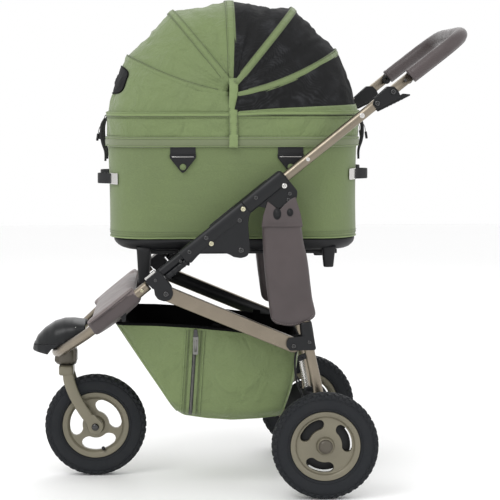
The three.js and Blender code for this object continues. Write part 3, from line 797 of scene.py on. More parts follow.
def axle_cap(label, centre, side, start, height, radius, material, body):
    """The domed end cap over an axle bolt."""
    x, _, z = centre
    profile = [
        (0, height), (radius * 0.3, height * 0.98), (radius * 0.55, height * 0.9),
        (radius * 0.8, height * 0.72), (radius * 0.95, height * 0.42), (radius, 0.8), (radius * 1.02, 0),
        (radius * 0.9, -0.4)
    ]
    lathe(
        f"axle_cap_{label}", [(r, side * (start + h)) for r, h in profile], (x, 0, z), material, segments=40,
        body=body
    )


FRONT_FACE = [
    (18.5, 6.6), (28, 5.2), (60, 5.2), (61.6, 6.8), (64.6, 10.6), (67.4, 12.2), (74.5, 14.2), (76.4, 13.8),
    (77.2, 10)
]
REAR_FACE = [
    (18.5, 7), (37, 5.4), (61.5, 4.8), (63.4, 6.4), (64.6, 9.8), (67, 11.6), (73, 14), (76.4, 14.4),
    (77.2, 10)
]


def wheels():
    front = (FRONT_AXLE[0], 0.0, FRONT_AXLE[1])
    tyre("front", front, 77.4, "front_wheel", ("front_tyre",))
    rim("front", front, 0, FRONT_FACE, (40, 160, 280), (31, 60), 102, "front_wheel", ("front_rim",))
    valve("front", front, math.radians(-72), -1, "front_wheel")
    for label, side in SIDES:
        y = JOINT[f"rear_wheel_{label}_spin"][1]
        centre = (REAR_AXLE[0], y, REAR_AXLE[1])
        tyre(f"rear_{label}", centre, 77.4, f"rear_wheel_{label}", (f"rear_tyre_{label}",))
        rim(
            f"rear_{label}", centre, side, REAR_FACE, (131, 21, 255), (37, 59.5), 76, f"rear_wheel_{label}",
            (f"rear_rim_{label}",)
        )
        valve(f"rear_{label}", centre, math.radians(230), -side, f"rear_wheel_{label}")
        axle_cap(
            f"rear_{label}", (REAR_AXLE[0], 0, REAR_AXLE[1]), side, abs(y) + 15.5, 9, 16, "bronze",
            f"rear_wheel_{label}"
        )
        axle_cap(f"front_{label}", (FRONT_AXLE[0], 0, FRONT_AXLE[1]), side, 35.6, 6, 8.5, "bolt", "fork")


def front_fork():
    """Curved round fork tubes from the crown to the axle, with flattened ends."""
    x, z = FRONT_AXLE
    legs = []
    for label, side in SIDES:
        route = [
            (STEER_X + 3, 27, 250), (STEER_X + 8, 31, 222), (STEER_X + 21, 31.4, 187),
            (STEER_X + 44, 31.2, 148), (x - 2, 31, z + 4)
        ]
        path = spline([(px, side * py, pz) for px, py, pz in route], 40)
        scales = np.interp(np.arange(40), [0, 6, 30, 39], [0.95, 1.05, 1.0, 0.9])
        legs.append(sweep(f"fork_leg_{label}", path, section(8.4, 25, 2.3, 28), "rim", (0, 1, 0), scales))
        legs.append(
            slab(
                f"fork_end_{label}", fillet(capsule((x - 9, z + 16), (x, z), 13, 17.5), 0.1), 28.6, 34.8,
                side, "rim", 1.2
            )
        )
    top, bottom = 261.4, 238.5
    crown = fillet([(-17, -34.6), (17, -34.6), (17, 34.6), (-17, 34.6)], 9, 6)
    levels = ((bottom, 0.90), (bottom + 3, 1.0), (top - 5, 1.0), (top - 1.5, 0.95), (top, 0.86))
    rings = [[(STEER_X + px * grow, py * grow, height) for px, py in crown] for height, grow in levels]
    legs.append(loft("fork_crown", rings, "rim"))
    join("front_fork", legs, "fork", "fork")
    lathe(
        "steering_collar", [(0, 261.0), (20, 261.0), (21.5, 261.6), (21.5, 262.2), (0, 262.2)],
        (STEER_X, 0, 0), "black_soft", "Z", body="fork"
    )


def steering_head():
    """The swivel housing under the front tube, with ribs and a bolt on each side."""
    low, high = node_box("steering_head")
    middle = (low[0] + high[0]) / 2
    profile = [
        (0, 262.6), (22.4, 262.6), (24, 264), (24.4, 268), (26.2, 272), (26.4, 292), (25, 297), (19, 300),
        (0, 300)
    ]
    drum = lathe("steering_drum", profile, (middle, 0, 0), "bronze", "Z", 64)
    box = slab(
        "steering_box",
        fillet([(low[0] + 0.5, 267), (high[0] - 2, 267), (high[0] - 4, 302), (low[0] + 4, 302)], 6), -19.6,
        19.6, 1, "bronze", 2.5, 3
    )
    join("steering_housing", [drum, box], "chassis", "steering_head")
    for label, side in SIDES:
        screw(f"steering_bolt_{label}", (middle + 4, 285), 19.6, side, 6, "bolt", "chassis", 3.2)


FENDER_TOP = [
    (-492.4, 303), (-490, 316), (-484, 329), (-468, 345.5), (-444, 361), (-421, 367.5), (-400, 367.5),
    (-372, 363)
]
FENDER_FOOT = [(-492.4, 298), (-458, 292), (-449, 304), (-429, 312), (-410, 322), (-372, 346)]
FENDER_LINE = [(-492, 312), (-372, 322)]
FENDER_WIDTH = [
    (-492.4, 0.16), (-489, 0.42), (-480, 0.65), (-462, 0.87), (-440, 0.98), (-420, 1.0), (-395, 0.98),
    (-372, 0.9)
]


def curve_at(points, x):
    """The height of a broken line at x."""
    return float(np.interp(x, *zip(*points)))


def fender():
    """A glossy visor over the steering head, with a thicker band round its lower edge."""
    low, high = node_box("front_fender")
    half = (high[1] - low[1]) / 2 - 2

    def dome(u, v):
        x = -492.4 + 120.4 * v**1.5
        top, foot = curve_at(FENDER_TOP, x), curve_at(FENDER_FOOT, x)
        turn = math.pi * u
        z = foot + (top - foot) * math.sin(turn) ** 0.72
        out = 2.4 * smooth_step((curve_at(FENDER_LINE, x) - z) / 1.2)
        across = -math.copysign(abs(math.cos(turn)) ** 0.72, math.cos(turn))
        return (x - out * (1 - v) ** 2, across * (half * curve_at(FENDER_WIDTH, x) + out), z)

    shell = grid("front_fender_cover", 72, 60, dome, "gloss", 2.4)
    shell.data.materials.append(MAT["black"])
    for polygon in shell.data.polygons:
        x, _, z = polygon.center / MM
        polygon.material_index = int(z < curve_at(FENDER_LINE, x))
    shell.modifiers["cloth_thickness"].offset = -1
    apply_modifiers(shell)
    declare(shell, "chassis", "front_fender")
    groove = []
    for x in np.linspace(-374, -491, 36):
        foot, line = curve_at(FENDER_FOOT, x), curve_at(FENDER_LINE, x)
        turn = math.asin(
            min(1.0, (max(0.05, (line - foot) / (curve_at(FENDER_TOP, x) - foot))) ** (1 / 0.72))
        )
        groove.append((x, (half * curve_at(FENDER_WIDTH, x) + 1.4) * math.cos(turn) ** 0.72, line + 0.9))
    groove += [(x, -y, z) for x, y, z in reversed(groove)]
    sweep("fender_groove", groove, section(2.6, 2.6, 2, 8), "black_soft", (0, 0, 1), body="chassis")
    for label, side in SIDES:
        screw(f"fender_plug_{label}", (-394, 352), half * 0.84, side, 2.6, "chrome", "chassis", 2.2)


# ---- main frame ---------------------------------------------------------------------------
FRONT_TUBE = [
    (-226, 198, 467), (-262, 198, 437.5), (-300, 195, 407), (-335, 178, 377), (-365, 150, 351),
    (-402, 101, 321), (-428, 58, 300), (-440, 0, 291)
]


def front_tube():
    other = [(x, -y, z) for x, y, z in reversed(FRONT_TUBE[:-1])]
    path = spline(FRONT_TUBE + other, 120)
    sweep(
        "front_tube", path, section(22.4, 22.4, 2, 32), "champagne", (0, 0, 1), body="chassis",
        replaces=("front_frame_tube",)
    )
    for label, side in SIDES:
        screw(f"front_tube_screw_{label}", (-239, 456), 209.4, side, 4.2, "brass", "chassis", 2.4)


def bar_run(name, stops, outline, side, material="black", scales=None, n=0.0, y=FRAME_Y, **where):
    """A sleeve along the side bar through the given places on it."""
    path = [at_side(on_bar(s, n), side, y) for s in stops]
    return sweep(name, path, outline, material, (0, side, 0), scales, **where)


def bar_relief(name, start, end, side, body):
    """The half-round front of the bar that stands out over the gusset plate."""
    turn = np.linspace(0, math.pi, 22)
    outline = np.column_stack([9.6 * np.sin(turn) ** 0.9, 16.4 * np.cos(turn)])
    stops = (start, start + 0.5, start + 1.6, (start + end) / 2, end - 1.6, end - 0.5, end)
    return bar_run(
        name, stops, outline, side, "black", [0.93, 0.98, 1, 1, 1, 0.98, 0.93], 0, 215.4, body=body
    )


def side_castings(label, side):
    """The black side bar: clevis, latch, lower casting, smooth gusset plate and upper casting."""
    # clevis bracket: a sleeve round the front tube's end, with two ears down to the lower link
    ends = [0.92, 0.98, 1, 1, 0.98, 0.92]
    ear = [
        (-230, 480), (-204, 500.5), (-195, 493), (-174, 464), (-170.5, 449), (-176, 436), (-190, 432.5),
        (-204, 437), (-211, 447), (-213, 460), (-229, 472)
    ]
    ear = fillet(ear, [3, 3, 6, 12, 12, 12, 12, 12, 10, 6, 3], 5)
    pieces = [
        slab("clevis_ear", ear, near, far, side, "black", 1.4, 3)
        for near, far in ((180.2, 184), (212, 215.8))
    ]
    pieces.append(
        bar_run(
            "clevis_sleeve", (-126, -125, -123, -93, -91, -90), section(33, 27.6, 3.2, 36), side, scales=ends
        )
    )
    pieces.append(bar_run("clevis_core", (-91, -90, -29, -28), section(24, 20, 2.4, 32), side, n=4.5))
    join(f"clevis_{label}", pieces, "chassis", f"clevis_bracket_{label}")
    plate = fillet([on_bar(s, n) for s, n in ((-126, 12), (-98, 12), (-98, 17.4), (-126, 17.4))], 1)
    slab(f"clevis_plate_{label}", plate, 187, 209, side, "chrome", 0.8, 2, body="chassis")

    # lower casting: a round bar, the tongue of the fold joint, and the ribbed latch under its front end
    stations = [(-31.4, 0.93), (-29.5, 1), (0, 1), (7, 0.97), (12, 0.84), (30, 0.82), (49, 0.8)]
    pieces = [
        bar_run(
            "lower_bar", [s for s, _ in stations], section(31, 33.4, 2.5, 36), side,
            scales=[g for _, g in stations]
        )
    ]
    pieces.append(
        slab(
            "tongue", fillet(capsule(on_bar(38, 0), FOLD, 13.6, 13.6), 0.1), 188.4, 207.6, side, "black", 1.2
        )
    )
    pieces.append(
        bar_run(
            "latch", (-86, -85.4, -84, -33, -31, -30), section(15, 15, 2, 28), side, scales=ends, n=-11.5,
            y=202
        )
    )
    for s in (-82, -68, -54, -40):
        pieces.append(
            bar_run(
                "latch_rib", (s - 1.3, s - 0.7, s + 0.7, s + 1.3), section(17.4, 17.4, 2, 28), side,
                scales=[0.9, 1, 1, 0.9], n=-11.5, y=202
            )
        )
    pieces.append(
        rod(
            "latch_nub", at_side(on_bar(-34, -15), side, 204), at_side(on_bar(-29, -21), side, 204), 3.6,
            "black", 0.8, 16
        )
    )
    join(f"lower_casting_{label}_body", pieces, "chassis", f"lower_casting_{label}")

    # gusset plate: a smooth cast web over the joint; the bar stands out over it as a half round
    outline = [
        (-137, 519), (-131, 518), (-111, 540), (-62, 541.5), (-50, 537), (-36, 530), (-22, 528), (-8, 532),
        (-2.5, 545), (-4.5, 577), (-6.5, 600), (-5, 618), (1, 631), on_bar(150, -8), on_bar(145, 8),
        on_bar(-8, 8)
    ]
    web = slab(
        "web", fillet(outline, [3, 6, 12, 8, 14, 14, 14, 12, 12, 60, 60, 30, 10, 3, 3, 3], 6), 217.2, 220.8,
        side, "black", 1.5, 3
    )
    boss = [(5, 220.4), (9.4, 221.2), (10.5, 220.7), (11.2, 219.8)]
    boss = lathe("boss", [(r, side * h) for r, h in boss], (FOLD[0], 0, FOLD[1]), "black", segments=32)
    join(
        f"gusset_{label}", [web, boss, bar_relief("relief", -30, 145.6, side, None)], "chassis",
        f"gusset_plate_{label}"
    )

    # upper casting: two cheeks over the fold joint and the rear leg, with a solid core between
    cheek = [
        (54, 15.5), (222, 15.5), (250, 15.5), (256, 10), (256, -44), (244, -56), (228, -57), (190, -46),
        (168, -15.5), (112, -15.5), (93, -62), (88, -76), (76, -80), (65, -74), (63, -60), (66, -30),
        (54, -15.5)
    ]
    corner = [5, 20, 8, 6, 10, 14, 14, 14, 10, 14, 20, 10, 10, 10, 10, 16, 6]
    cheek = fillet([on_bar(s, n) for s, n in cheek], corner, 5)
    pieces = [
        slab("cheek", cheek, near, far, side, "black", 1.5, 3)
        for near, far in ((180.1, 184), (212, 215.9))
    ]
    pieces.append(
        bar_run("core", (124, 126, 130, 205, 211, 213.6), section(31.4, 36.4, 2.6, 36), side, scales=ends)
    )
    pieces.append(bar_relief("relief", 146.2, 252, side, None))
    for n in (15.2, -15.2):
        pieces.append(
            bar_run(
                "rail", (57, 60, 110, 200, 214, 217), section(3.2, 3.8, 2.5, 12), side,
                scales=[0.5, 0.9, 1, 1, 0.9, 0.5], n=n, y=182.1
            )
        )
    join(f"upper_casting_{label}_body", pieces, "upper_frame", f"upper_casting_{label}")


def frame_fasteners(label, side):
    for name, place, distance, radius, material, body in (
        ("clevis_screw", (-209.4, 479.4), 215.7, 4.4, "bolt", "chassis"),
        ("bar_screw_front", (-154.5, 521), 209.2, 4.0, "bolt", "chassis"),
        ("bar_screw_low", (-135, 542.6), 224.2, 4.8, "bolt", "chassis"),
        ("bar_screw_high", (-98.2, 573.4), 224.2, 5.6, "bolt", "chassis"),
        ("gusset_screw", (-25.2, 611.1), 220.8, 5.6, "bolt", "chassis"),
        ("rivet_high", (-17.6, 636), 224.2, 5.8, "brass", "chassis"),
        ("rivet_low", (-87.1, 560.4), 222.6, 5.8, "brass", "chassis"),
        ("upper_screw", (10.3, 660.7), 224.2, 5.0, "bolt", "upper_frame"),
        ("block_screw", (62, 697.5), 215.9, 5.0, "bolt", "upper_frame"),
        ("block_screw_low", (84.7, 668.7), 215.9, 5.0, "bolt", "upper_frame"),
    ):
        screw(f"{name}_{label}", place, distance, side, radius, material, body)
    screw(f"fold_bolt_{label}", FOLD, 220.9, side, 6.6, "bolt", "chassis", 3.0)
    screw(f"link_bolt_{label}", LINK, 215.8, side, 6.6, "bolt", "chassis", 3.4)
    screw(f"leg_bolt_{label}", LEG, 215.9, side, 5.2, "bolt", "upper_frame")
    screw(f"handle_bolt_{label}", HANDLE, 221.4, side, 6.2, "chrome", "upper_frame", 3.0)


# ---- handle ---------------------------------------------------------------------------
GRIP_START = (351.0, 925.0)
GRIP_END = (470.5, 1018.0)
TUBE_ANGLE = math.atan2(GRIP_START[1] - HANDLE[1], GRIP_START[0] - HANDLE[0])


def on_tube(s, n=0.0):
    """A point s along the handle tube from its pivot and n above its axis."""
    cos, sin = math.cos(TUBE_ANGLE), math.sin(TUBE_ANGLE)
    return (HANDLE[0] + s * cos - n * sin, HANDLE[1] + s * sin + n * cos)


def tube_rise(s):
    """How far the drawn tube lies above the straight line from its pivot to the grip."""
    return 11.3 * (1 - s / 367)


def handle_tube(label, side):
    """A champagne tube with two chrome discs along its outer face."""
    length = math.dist(HANDLE, GRIP_START)
    y = HANDLE_Y
    tube = sweep(
        f"handle_tube_{label}_skin",
        [at_side(on_tube(s, tube_rise(s)), side, y) for s in (-8, -6, 0, 60, 150, 240, length - 3)],
        section(21.6, 21.6, 2, 40), "champagne", (0, 1, 0), [0.9, 1, 1, 1, 1, 1, 1]
    )
    declare(tube, "handle", f"handle_tube_{label}")
    for name, s, radius in (("low", 77, 4.6), ("high", 229, 5.8)):
        place = on_tube(s, tube_rise(s))
        disc = [(0, 11.5), (radius * 0.55, 11.5), (radius * 0.8, 11.2), (radius, 10.6), (radius, 8.6)]
        lathe(
            f"handle_disc_{name}_{label}", [(r, side * (y + h)) for r, h in disc], (place[0], 0, place[1]),
            "chrome", segments=28, body="handle"
        )


def lever_knob(label, side):
    """A ring-shaped release button on the inner face of each tube, and a small screw on its outer face."""
    ring = [(0, 10.4), (5, 10.4), (5.6, 12), (8.6, 12.6), (10, 11.4), (10, 8)]
    lathe(
        f"handle_knob_{label}", [(r, side * (HANDLE_Y - h)) for r, h in ring], (346.5, 0, 917.4),
        "black_soft", segments=32, body="handle"
    )
    screw(f"handle_screw_{label}", (338, 915.5), HANDLE_Y + 10.6, side, 3.4, "bolt", "handle", 2)


def grip_path(count):
    """The U of the grip in one smooth curve: up each side and across the top."""
    start, end = GRIP_START, GRIP_END
    run = lambda t, y: (start[0] + (end[0] - start[0]) * t, y, start[1] + (end[1] - start[1]) * t)
    half = [
        run(0, 196), run(0.35, 196), run(0.66, 193), run(0.87, 176), run(0.97, 148), run(1, 110), run(1, 50)
    ]
    return spline(half + [(x, -y, z) for x, y, z in reversed(half)], count)


def handle_grip():
    count = 150
    path = grip_path(count)
    rng = random.Random(4)
    swell = [15.5 / 16 + 0.008 * math.sin(k * 0.9) + 0.006 * rng.random() for k in range(count)]
    for k, s in enumerate((0.90, 0.955, 0.985, 1.0)):
        swell[k] = swell[-1 - k] = s * 15.6 / 16
    grip = sweep("grip_leather", path, section(32.6, 32.6, 2, 40), "leather", (0, 0, 1), swell)
    declare(grip, "handle", "handle_grip")
    normal = np.array((-(GRIP_END[1] - GRIP_START[1]), 0, GRIP_END[0] - GRIP_START[0]))
    normal /= np.linalg.norm(normal)
    seam = path - 15.85 * normal
    sweep("grip_seam", seam, section(2.2, 1.5, 2, 10), "leather", (0, 0, 1), body="handle")
    for offset in (-3.2, 3.2):
        tangent = np.gradient(path, axis=0)
        tangent /= np.linalg.norm(tangent, axis=1)[:, None]
        side = np.cross(tangent, normal)
        side /= np.linalg.norm(side, axis=1)[:, None]
        stitch_line(
            "grip_stitch", seam + offset * side - 0.1 * normal, "thread", 5.0, 3.2, 0.5, body="handle"
        )
    for label, side in SIDES:
        place = at_side(GRIP_START, side, HANDLE_Y)
        along = np.array((math.cos(TUBE_ANGLE), 0, math.sin(TUBE_ANGLE)))
        ends = [np.array(place) + along * d for d in (-1.2, 0.2, 4.5, 6.0)]
        sweep(
            f"grip_cuff_{label}", ends, section(32.6, 32.6, 2, 40), "leather", (0, 1, 0), [0.93, 1, 1, 0.95],
            body="handle"
        )


def lever_set(label, side):
    """The fold lever in its moulded housing under the handle tube."""
    y = HANDLE_Y
    outline = fillet(
        [
            (266, 863), (275.5, 851.5), (328, 878.5), (327, 883), (322.5, 893), (313, 902), (299, 902),
            (270, 876)
        ],
        [4, 5, 3, 4, 6, 8, 8, 8], 5
    )
    cheeks = [
        slab(f"housing_cheek_{label}", outline, near, far, side, "black_soft", 1.6, 3)
        for near, far in ((y - 13, y - 8), (y + 8, y + 13))
    ]
    spine = fillet([(268, 870), (274, 868), (320, 890), (314, 902), (299, 902)], 3, 4)
    cheeks.append(slab(f"housing_spine_{label}", spine, y - 12.6, y + 12.6, side, "black_soft", 1.2, 2))
    join(f"lever_housing_{label}_body", cheeks, "handle", f"lever_housing_{label}")
    for name, place in (("low", (276.5, 865.5)), ("high", (311, 890.5))):
        screw(f"housing_screw_{name}_{label}", place, y + 13, side, 6.4, "bolt", "handle", 4.2)
    lever = fillet(
        [(276, 850.5), (278.5, 847), (349, 882), (349.5, 885), (334, 886.5), (327, 882)],
        [1.5, 2, 2, 1.5, 4, 3], 5
    )
    blade = slab(f"lever_blade_{label}", lever, y - 6.8, y + 6.8, side, "black_soft", 2.2, 4)
    declare(blade, f"lever_{label}", f"fold_lever_{label}")
    for k in range(5):
        t = k / 4
        low = (300 + 32 * t, 857.7 + 15.9 * t)
        rod(
            f"lever_ridge_{label}_{k}", (low[0], side * (y - 5), low[1]), (low[0], side * (y + 5), low[1]),
            0.9, "black_soft", 0.4, 10, body=f"lever_{label}"
        )


# ---- rear legs, axle and brake ---------------------------------------------------------
def rear_leg(label, side):
    """A champagne leg tube with its black link bracket, foot block and screws."""
    points = [(LEG[0], LEG[1]), (127.6, 336), (149.9, 225.8), REAR_AXLE]
    path = [at_side(p, side, FRAME_Y) for p in points]
    fine = spline([path[0], np.array(path[0]) * 0.5 + np.array(path[1]) * 0.5, path[1], path[2], path[3]], 60)
    tube = sweep(f"leg_tube_{label}", fine, section(19.6, 22.6, 2, 36), "champagne")
    declare(tube, "rear_legs", f"rear_leg_{label}")

    ear = fillet(
        [(84, 350.5), (138, 356), (144, 326), (141, 322.5), (85, 321.5), (78, 332), (78.5, 343)],
        [7, 3, 4, 3, 8, 8, 8], 5
    )
    pieces = [
        slab(f"leg_ear_{label}", ear, near, far, side, "black", 1.2, 3)
        for near, far in ((180.2, 184), (212, 215.8))
    ]
    collar_path = [
        at_side((127.9 - 0.14 * (z - 336), z), side, FRAME_Y)
        for z in (323.5, 325, 328, 366, 381, 384)
    ]
    pieces.append(
        sweep(
            f"leg_collar_{label}", collar_path, section(35.4, 29.4, 3.4, 36), "black", (0, 1, 0),
            [0.9, 0.98, 1, 0.97, 0.92, 0.84]
        )
    )
    foot_path = [
        at_side((159.9 - 0.099 * (z - 118), z), side, FRAME_Y)
        for z in (100, 101.5, 105, 140, 160, 163)
    ]
    pieces.append(
        sweep(
            f"leg_foot_{label}", foot_path, section(27, 30, 3.2, 36), "black", (0, 1, 0),
            [0.86, 0.97, 1, 1, 0.93, 0.85]
        )
    )
    join(f"leg_bracket_{label}", pieces, "rear_legs")
    screw(f"link_end_bolt_{label}", LINK_END, 215.8, side, 5.6, "bolt", "rear_legs", 3.2)
    screw(f"bracket_screw_{label}", (128.9, 340.3), 215.6, side, 4.8, "bolt", "rear_legs", 2.6)
    screw(f"foot_screw_{label}", (157.6, 140), 211.0, side, 3.6, "bolt", "rear_legs", 2.2)


def leg_spring(label, side):
    """A coil spring on its rod, with a cup and a tab at each end; the brake cable's lower sheath beside it is
    made in brake_line.
    """
    top, bottom = np.array((110.0, side * 198, 304.0)), np.array((126.0, side * 198, 232.0))
    along = (bottom - top) / np.linalg.norm(bottom - top)
    length = np.linalg.norm(bottom - top)
    coils, radius, wire = 13, 5.6, 0.85
    across = np.array((0.0, 1.0, 0.0))
    up = np.cross(along, across)
    path = []
    for t in np.linspace(0, 1, coils * 14):
        angle = 2 * math.pi * coils * t
        reach = radius * (math.cos(angle) * across + math.sin(angle) * up)
        path.append(top + along * (5 + (length - 10) * t) + reach)
    coil = sweep(f"spring_coil_{label}", path, section(2 * wire, 2 * wire, 2, 7), "chrome", (0, 1, 0))
    core = rod(f"spring_core_{label}", top, bottom, 3.2, "chrome", 0.6, 14)
    join(f"spring_{label}", [coil, core], "rear_legs", f"leg_spring_{label}")
    for name, end, step in (("top", top, 1), ("bottom", bottom, -1)):
        rod(
            f"spring_cup_{name}_{label}", end, end + along * step * 7, 6.9, "black_soft", 0.8, 20,
            body="rear_legs"
        )
    for name, a, b in (("top", (110, 303.5), (127, 309)), ("bottom", (126.5, 233), (144, 232))):
        outline = fillet(capsule(a, b, 5.5, 7), 0.1)
        slab(f"spring_tab_{name}_{label}", outline, 195, 201, side, "black", 1.0, 2, body="rear_legs")


def brake_line():
    """The brake cable's two runs and the short loops that drop beside the springs."""
    x, z = REAR_AXLE
    route = [
        (x - 21, -176, z + 6), (x - 23, -120, z + 15), (x - 23, -60, z + 19), (x - 23, 0, z + 19.4),
        (x - 23, 60, z + 19), (x - 23, 120, z + 15), (x - 21, 176, z + 6)
    ]
    sweep(
        "brake_cable_sheath", spline(route, 60), section(5.6, 5.6, 2, 12), "black_soft", (0, 0, 1),
        body="rear_legs", replaces=("brake_cable",)
    )
    for label, side in SIDES:
        loop = [
            (113, side * 190, 330), (101, side * 190, 312), (99, side * 189, 280), (104, side * 188.5, 245),
            (117, side * 188.5, 214), (134, side * 187.5, 190), (143, side * 186.5, 168)
        ]
        sweep(
            f"brake_sheath_{label}", spline(loop, 44), section(4.6, 4.6, 2, 12), "black_soft",
            body="rear_legs"
        )


def axle():
    """The rear axle: a round steel shaft in a black tube; the moulded hub plates inside the wheels are made
    with the rims.
    """
    x, z = REAR_AXLE
    profile = [
        (0, -278.2), (5.2, -278.2), (5.9, -277), (5.9, -187), (12, -187), (12.9, -186), (12.9, -150),
        (13.4, -149), (13.4, -143), (12.9, -142)
    ]
    profile += [(r, -y) for r, y in reversed(profile)]
    shaft = lathe("rear_axle_tube", profile, (x, 0, z), "black", segments=40)
    declare(shaft, "rear_legs", "rear_axle")


def brake():
    """A foot pedal with ribbed tread and rolled edges on the axle tube."""
    x, z = REAR_AXLE
    outline = fillet(
        [
            (x + 14.8, -45.5), (x + 50, -45.5), (x + 65.5, -36), (x + 65.5, 36), (x + 50, 45.5),
            (x + 14.8, 45.5)
        ],
        [3, 14, 10, 10, 14, 3], 5
    )
    middle = x + 40
    levels = ((z - 3.8, 0.9), (z - 2, 0.985), (z + 7, 1), (z + 9.5, 0.98), (z + 10.4, 0.92))
    rings = [
        [(middle + (px - middle) * grow, py * grow, height) for px, py in outline]
        for height, grow in levels
    ]
    pieces = [loft("brake_plate", rings, "black")]
    for k in range(6):
        at = x + 25 + k * 6.2
        pieces.append(
            rod(
                "brake_rib", (at, -34 + max(0, k - 3) * 2, z + 10.2), (at, 34 - max(0, k - 3) * 2, z + 10.2),
                1.5, "black", 0.6, 12
            )
        )
    join("brake_tread", pieces, "brake", "brake_pedal")


def leg_cover(label, side):
    """The stitched leather pouch round the leg's top, with a collar that opens in a V over the casting."""
    outline = [
        (40, 622), (82, 617), (110, 622), (113.5, 600), (119, 560), (128, 520), (138, 440), (144.5, 402),
        (140, 391), (120, 380), (90, 373.5), (58, 378), (46, 387), (41, 404), (34, 450), (28, 505), (24, 560),
        (24.5, 605)
    ]
    centre = np.array((82.0, 500.0))
    rings, layers = [], 15
    for k in range(layers):
        t = -1 + 2 * k / (layers - 1)
        inset = 1 - (1 - math.sqrt(max(0.0, 1 - (abs(t) ** 3.2)))) * 0.13
        rings.append([
            (centre[0] + (x - centre[0]) * inset, side * (FRAME_Y + 11.5 * t),
             centre[1] + (z - centre[1]) * (1 - (1 - inset) * 0.35))
            for x, z in spline(outline, 110, True)
        ])
    pouch = inflate(loft(f"leg_pouch_{label}", rings, "leather"), 5.0, 2.2, 2.0)

    def flap(u, v):
        left, right = curve_at([(596, 23), (622, 26), (657, 36)], 596 + 61 * v), curve_at(
            [(596, 114), (622, 109), (661, 97)], 596 + 64 * v
        )
        dip = 27 * (1 - min(1.0, abs(2 * u - 0.8) / 1.1)) ** 1.3 * v
        z = 596 + (61 + 4 * u) * v - dip
        return (
            left + (right - left) * u,
            side * (212.2 + 5.6 * smooth_step(v * 3) + 1.5 * math.sin(math.pi * u)), z
        )
    collar = grid("collar", 30, 20, flap, "leather", 2.2)
    for k, (x, z) in enumerate(((57, 625), (85, 628))):
        loop = [
            (x + (7 - 2 * k) * math.cos(t), side * 219.6, z + (11 - 4 * k) * math.sin(t))
            for t in turns(20)
        ]
        slab(
            f"cover_eye_{label}_{k}", [(px, pz) for px, _, pz in loop], 218.6, 221.6, side, "black_soft", 0,
            body="rear_legs"
        )
        sweep(
            f"cover_ring_{label}_{k}", loop, section(4.2, 4.2, 2, 10), "black_soft", closed=True,
            body="rear_legs"
        )
    for name, line in (
        ("hem", [(44, 396), (57, 384.5), (90, 379.5), (124, 388), (139, 402)]),
        ("seam", [(27, 600), (70, 598), (111, 600)])
    ):
        line = [at_side(p, side, 210.4 + (2.4 if name == "seam" else 0)) for p in spline(line, 30)]
        stitch_line(f"cover_{name}_{label}", line, "thread", 5.4, 3.6, 0.55, body="rear_legs")
    # A black sheet in the collar's V opening: painted shade, standing for the shadow inside the opening.
    slab(
        f"cover_mouth_shade_sheet_{label}", [(44, 630), (92, 630), (96, 652), (66, 664), (42, 650)], 209.5, 211, side,
        "black_soft", 0, body="rear_legs"
    )
    cover = join(f"leg_pouch_{label}", [pouch, collar])
    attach(cover, "rear_legs")
    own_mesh(cover)
    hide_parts(f"leg_cover_{label}")


# ---- lower links, basket ------------------------------------------------------------------
def lower_link(label, side):
    """A champagne box-section link with rounded ends and rolled edges."""
    outline = fillet(capsule(LINK, LINK_END, 16.4, 16.2), 0.1)
    bar = slab(f"link_bar_{label}", outline, 188.3, 207.7, side, "champagne", 3.0, 4)
    declare(bar, "lower_links", f"lower_link_{label}")
    # A thin black sheet on the link's inner face: painted shade, standing for the shadow on that face.
    slab(
        f"link_inner_shade_sheet_{label}", fillet(capsule(LINK, LINK_END, 14.4, 14), 0.1), 187.1, 188.1, side,
        "black_soft", 0, body="lower_links"
    )


def along(points, t):
    """The place at a share t of the way along a list of points, measured in x."""
    xs = [p[0] for p in points]
    x = xs[0] + (xs[-1] - xs[0]) * t
    return x, float(np.interp(x, xs, [p[1] for p in points]))


BASKET_TOP = [(-300, 376.5), (-210, 374.5), (-126, 369), (-42, 361), (112, 341)]
BASKET_BOTTOM = [(-166, 176), (-146, 166), (-98, 158.5), (-40, 154), (20, 156.5), (73, 163)]
BASKET_SEAM = [(-300, 374), (-210, 371.5), (-126, 366), (-42, 357.7), (110, 336)]
BASKET_SIDE = 167.0
BASKET_LENGTH = 412


def basket_at(u, across, v):
    """The basket's skin: u runs front to back, across from side to side, v down from rim to base."""
    top, bottom = along(BASKET_TOP, u), along(BASKET_BOTTOM, u)
    belly = math.sin(math.pi * v)
    x = top[0] + (bottom[0] - top[0]) * v + 8.0 * belly * max(0.0, u - 0.6) / 0.4
    z = top[1] + (bottom[1] - top[1]) * v - 3.0 * belly
    tuck = 0.0 if v < 0.86 else 24 * ((v - 0.86) / 0.14) ** 2
    sag = fold_noise(x, across * 90, z, 95.0) * 6.0 + fold_noise(x + 300, across * 60, z, 38.0) * 3.0
    near_seam = min(1.0, 4 * v, 5 * (1 - v) + 0.1)
    return (x, across * (BASKET_SIDE - 3.5 - tuck - (3.0 - sag) * near_seam * abs(across)), z)


def basket_point(p, v):
    """The skin at a share p of the way round the basket."""
    x, y = ring_point((0, BASKET_LENGTH, BASKET_SIDE, 26), p)
    return basket_at(x / BASKET_LENGTH, y / BASKET_SIDE, v)


def fold_noise(x, y, z, size, stretch=1.0):
    """Smooth seeded noise from -1 to 1 over lengths of about size, for soft creases."""
    return noise.noise(Vector((x / size / stretch + 3.1, y / size + 7.7, z / size + 1.3)))


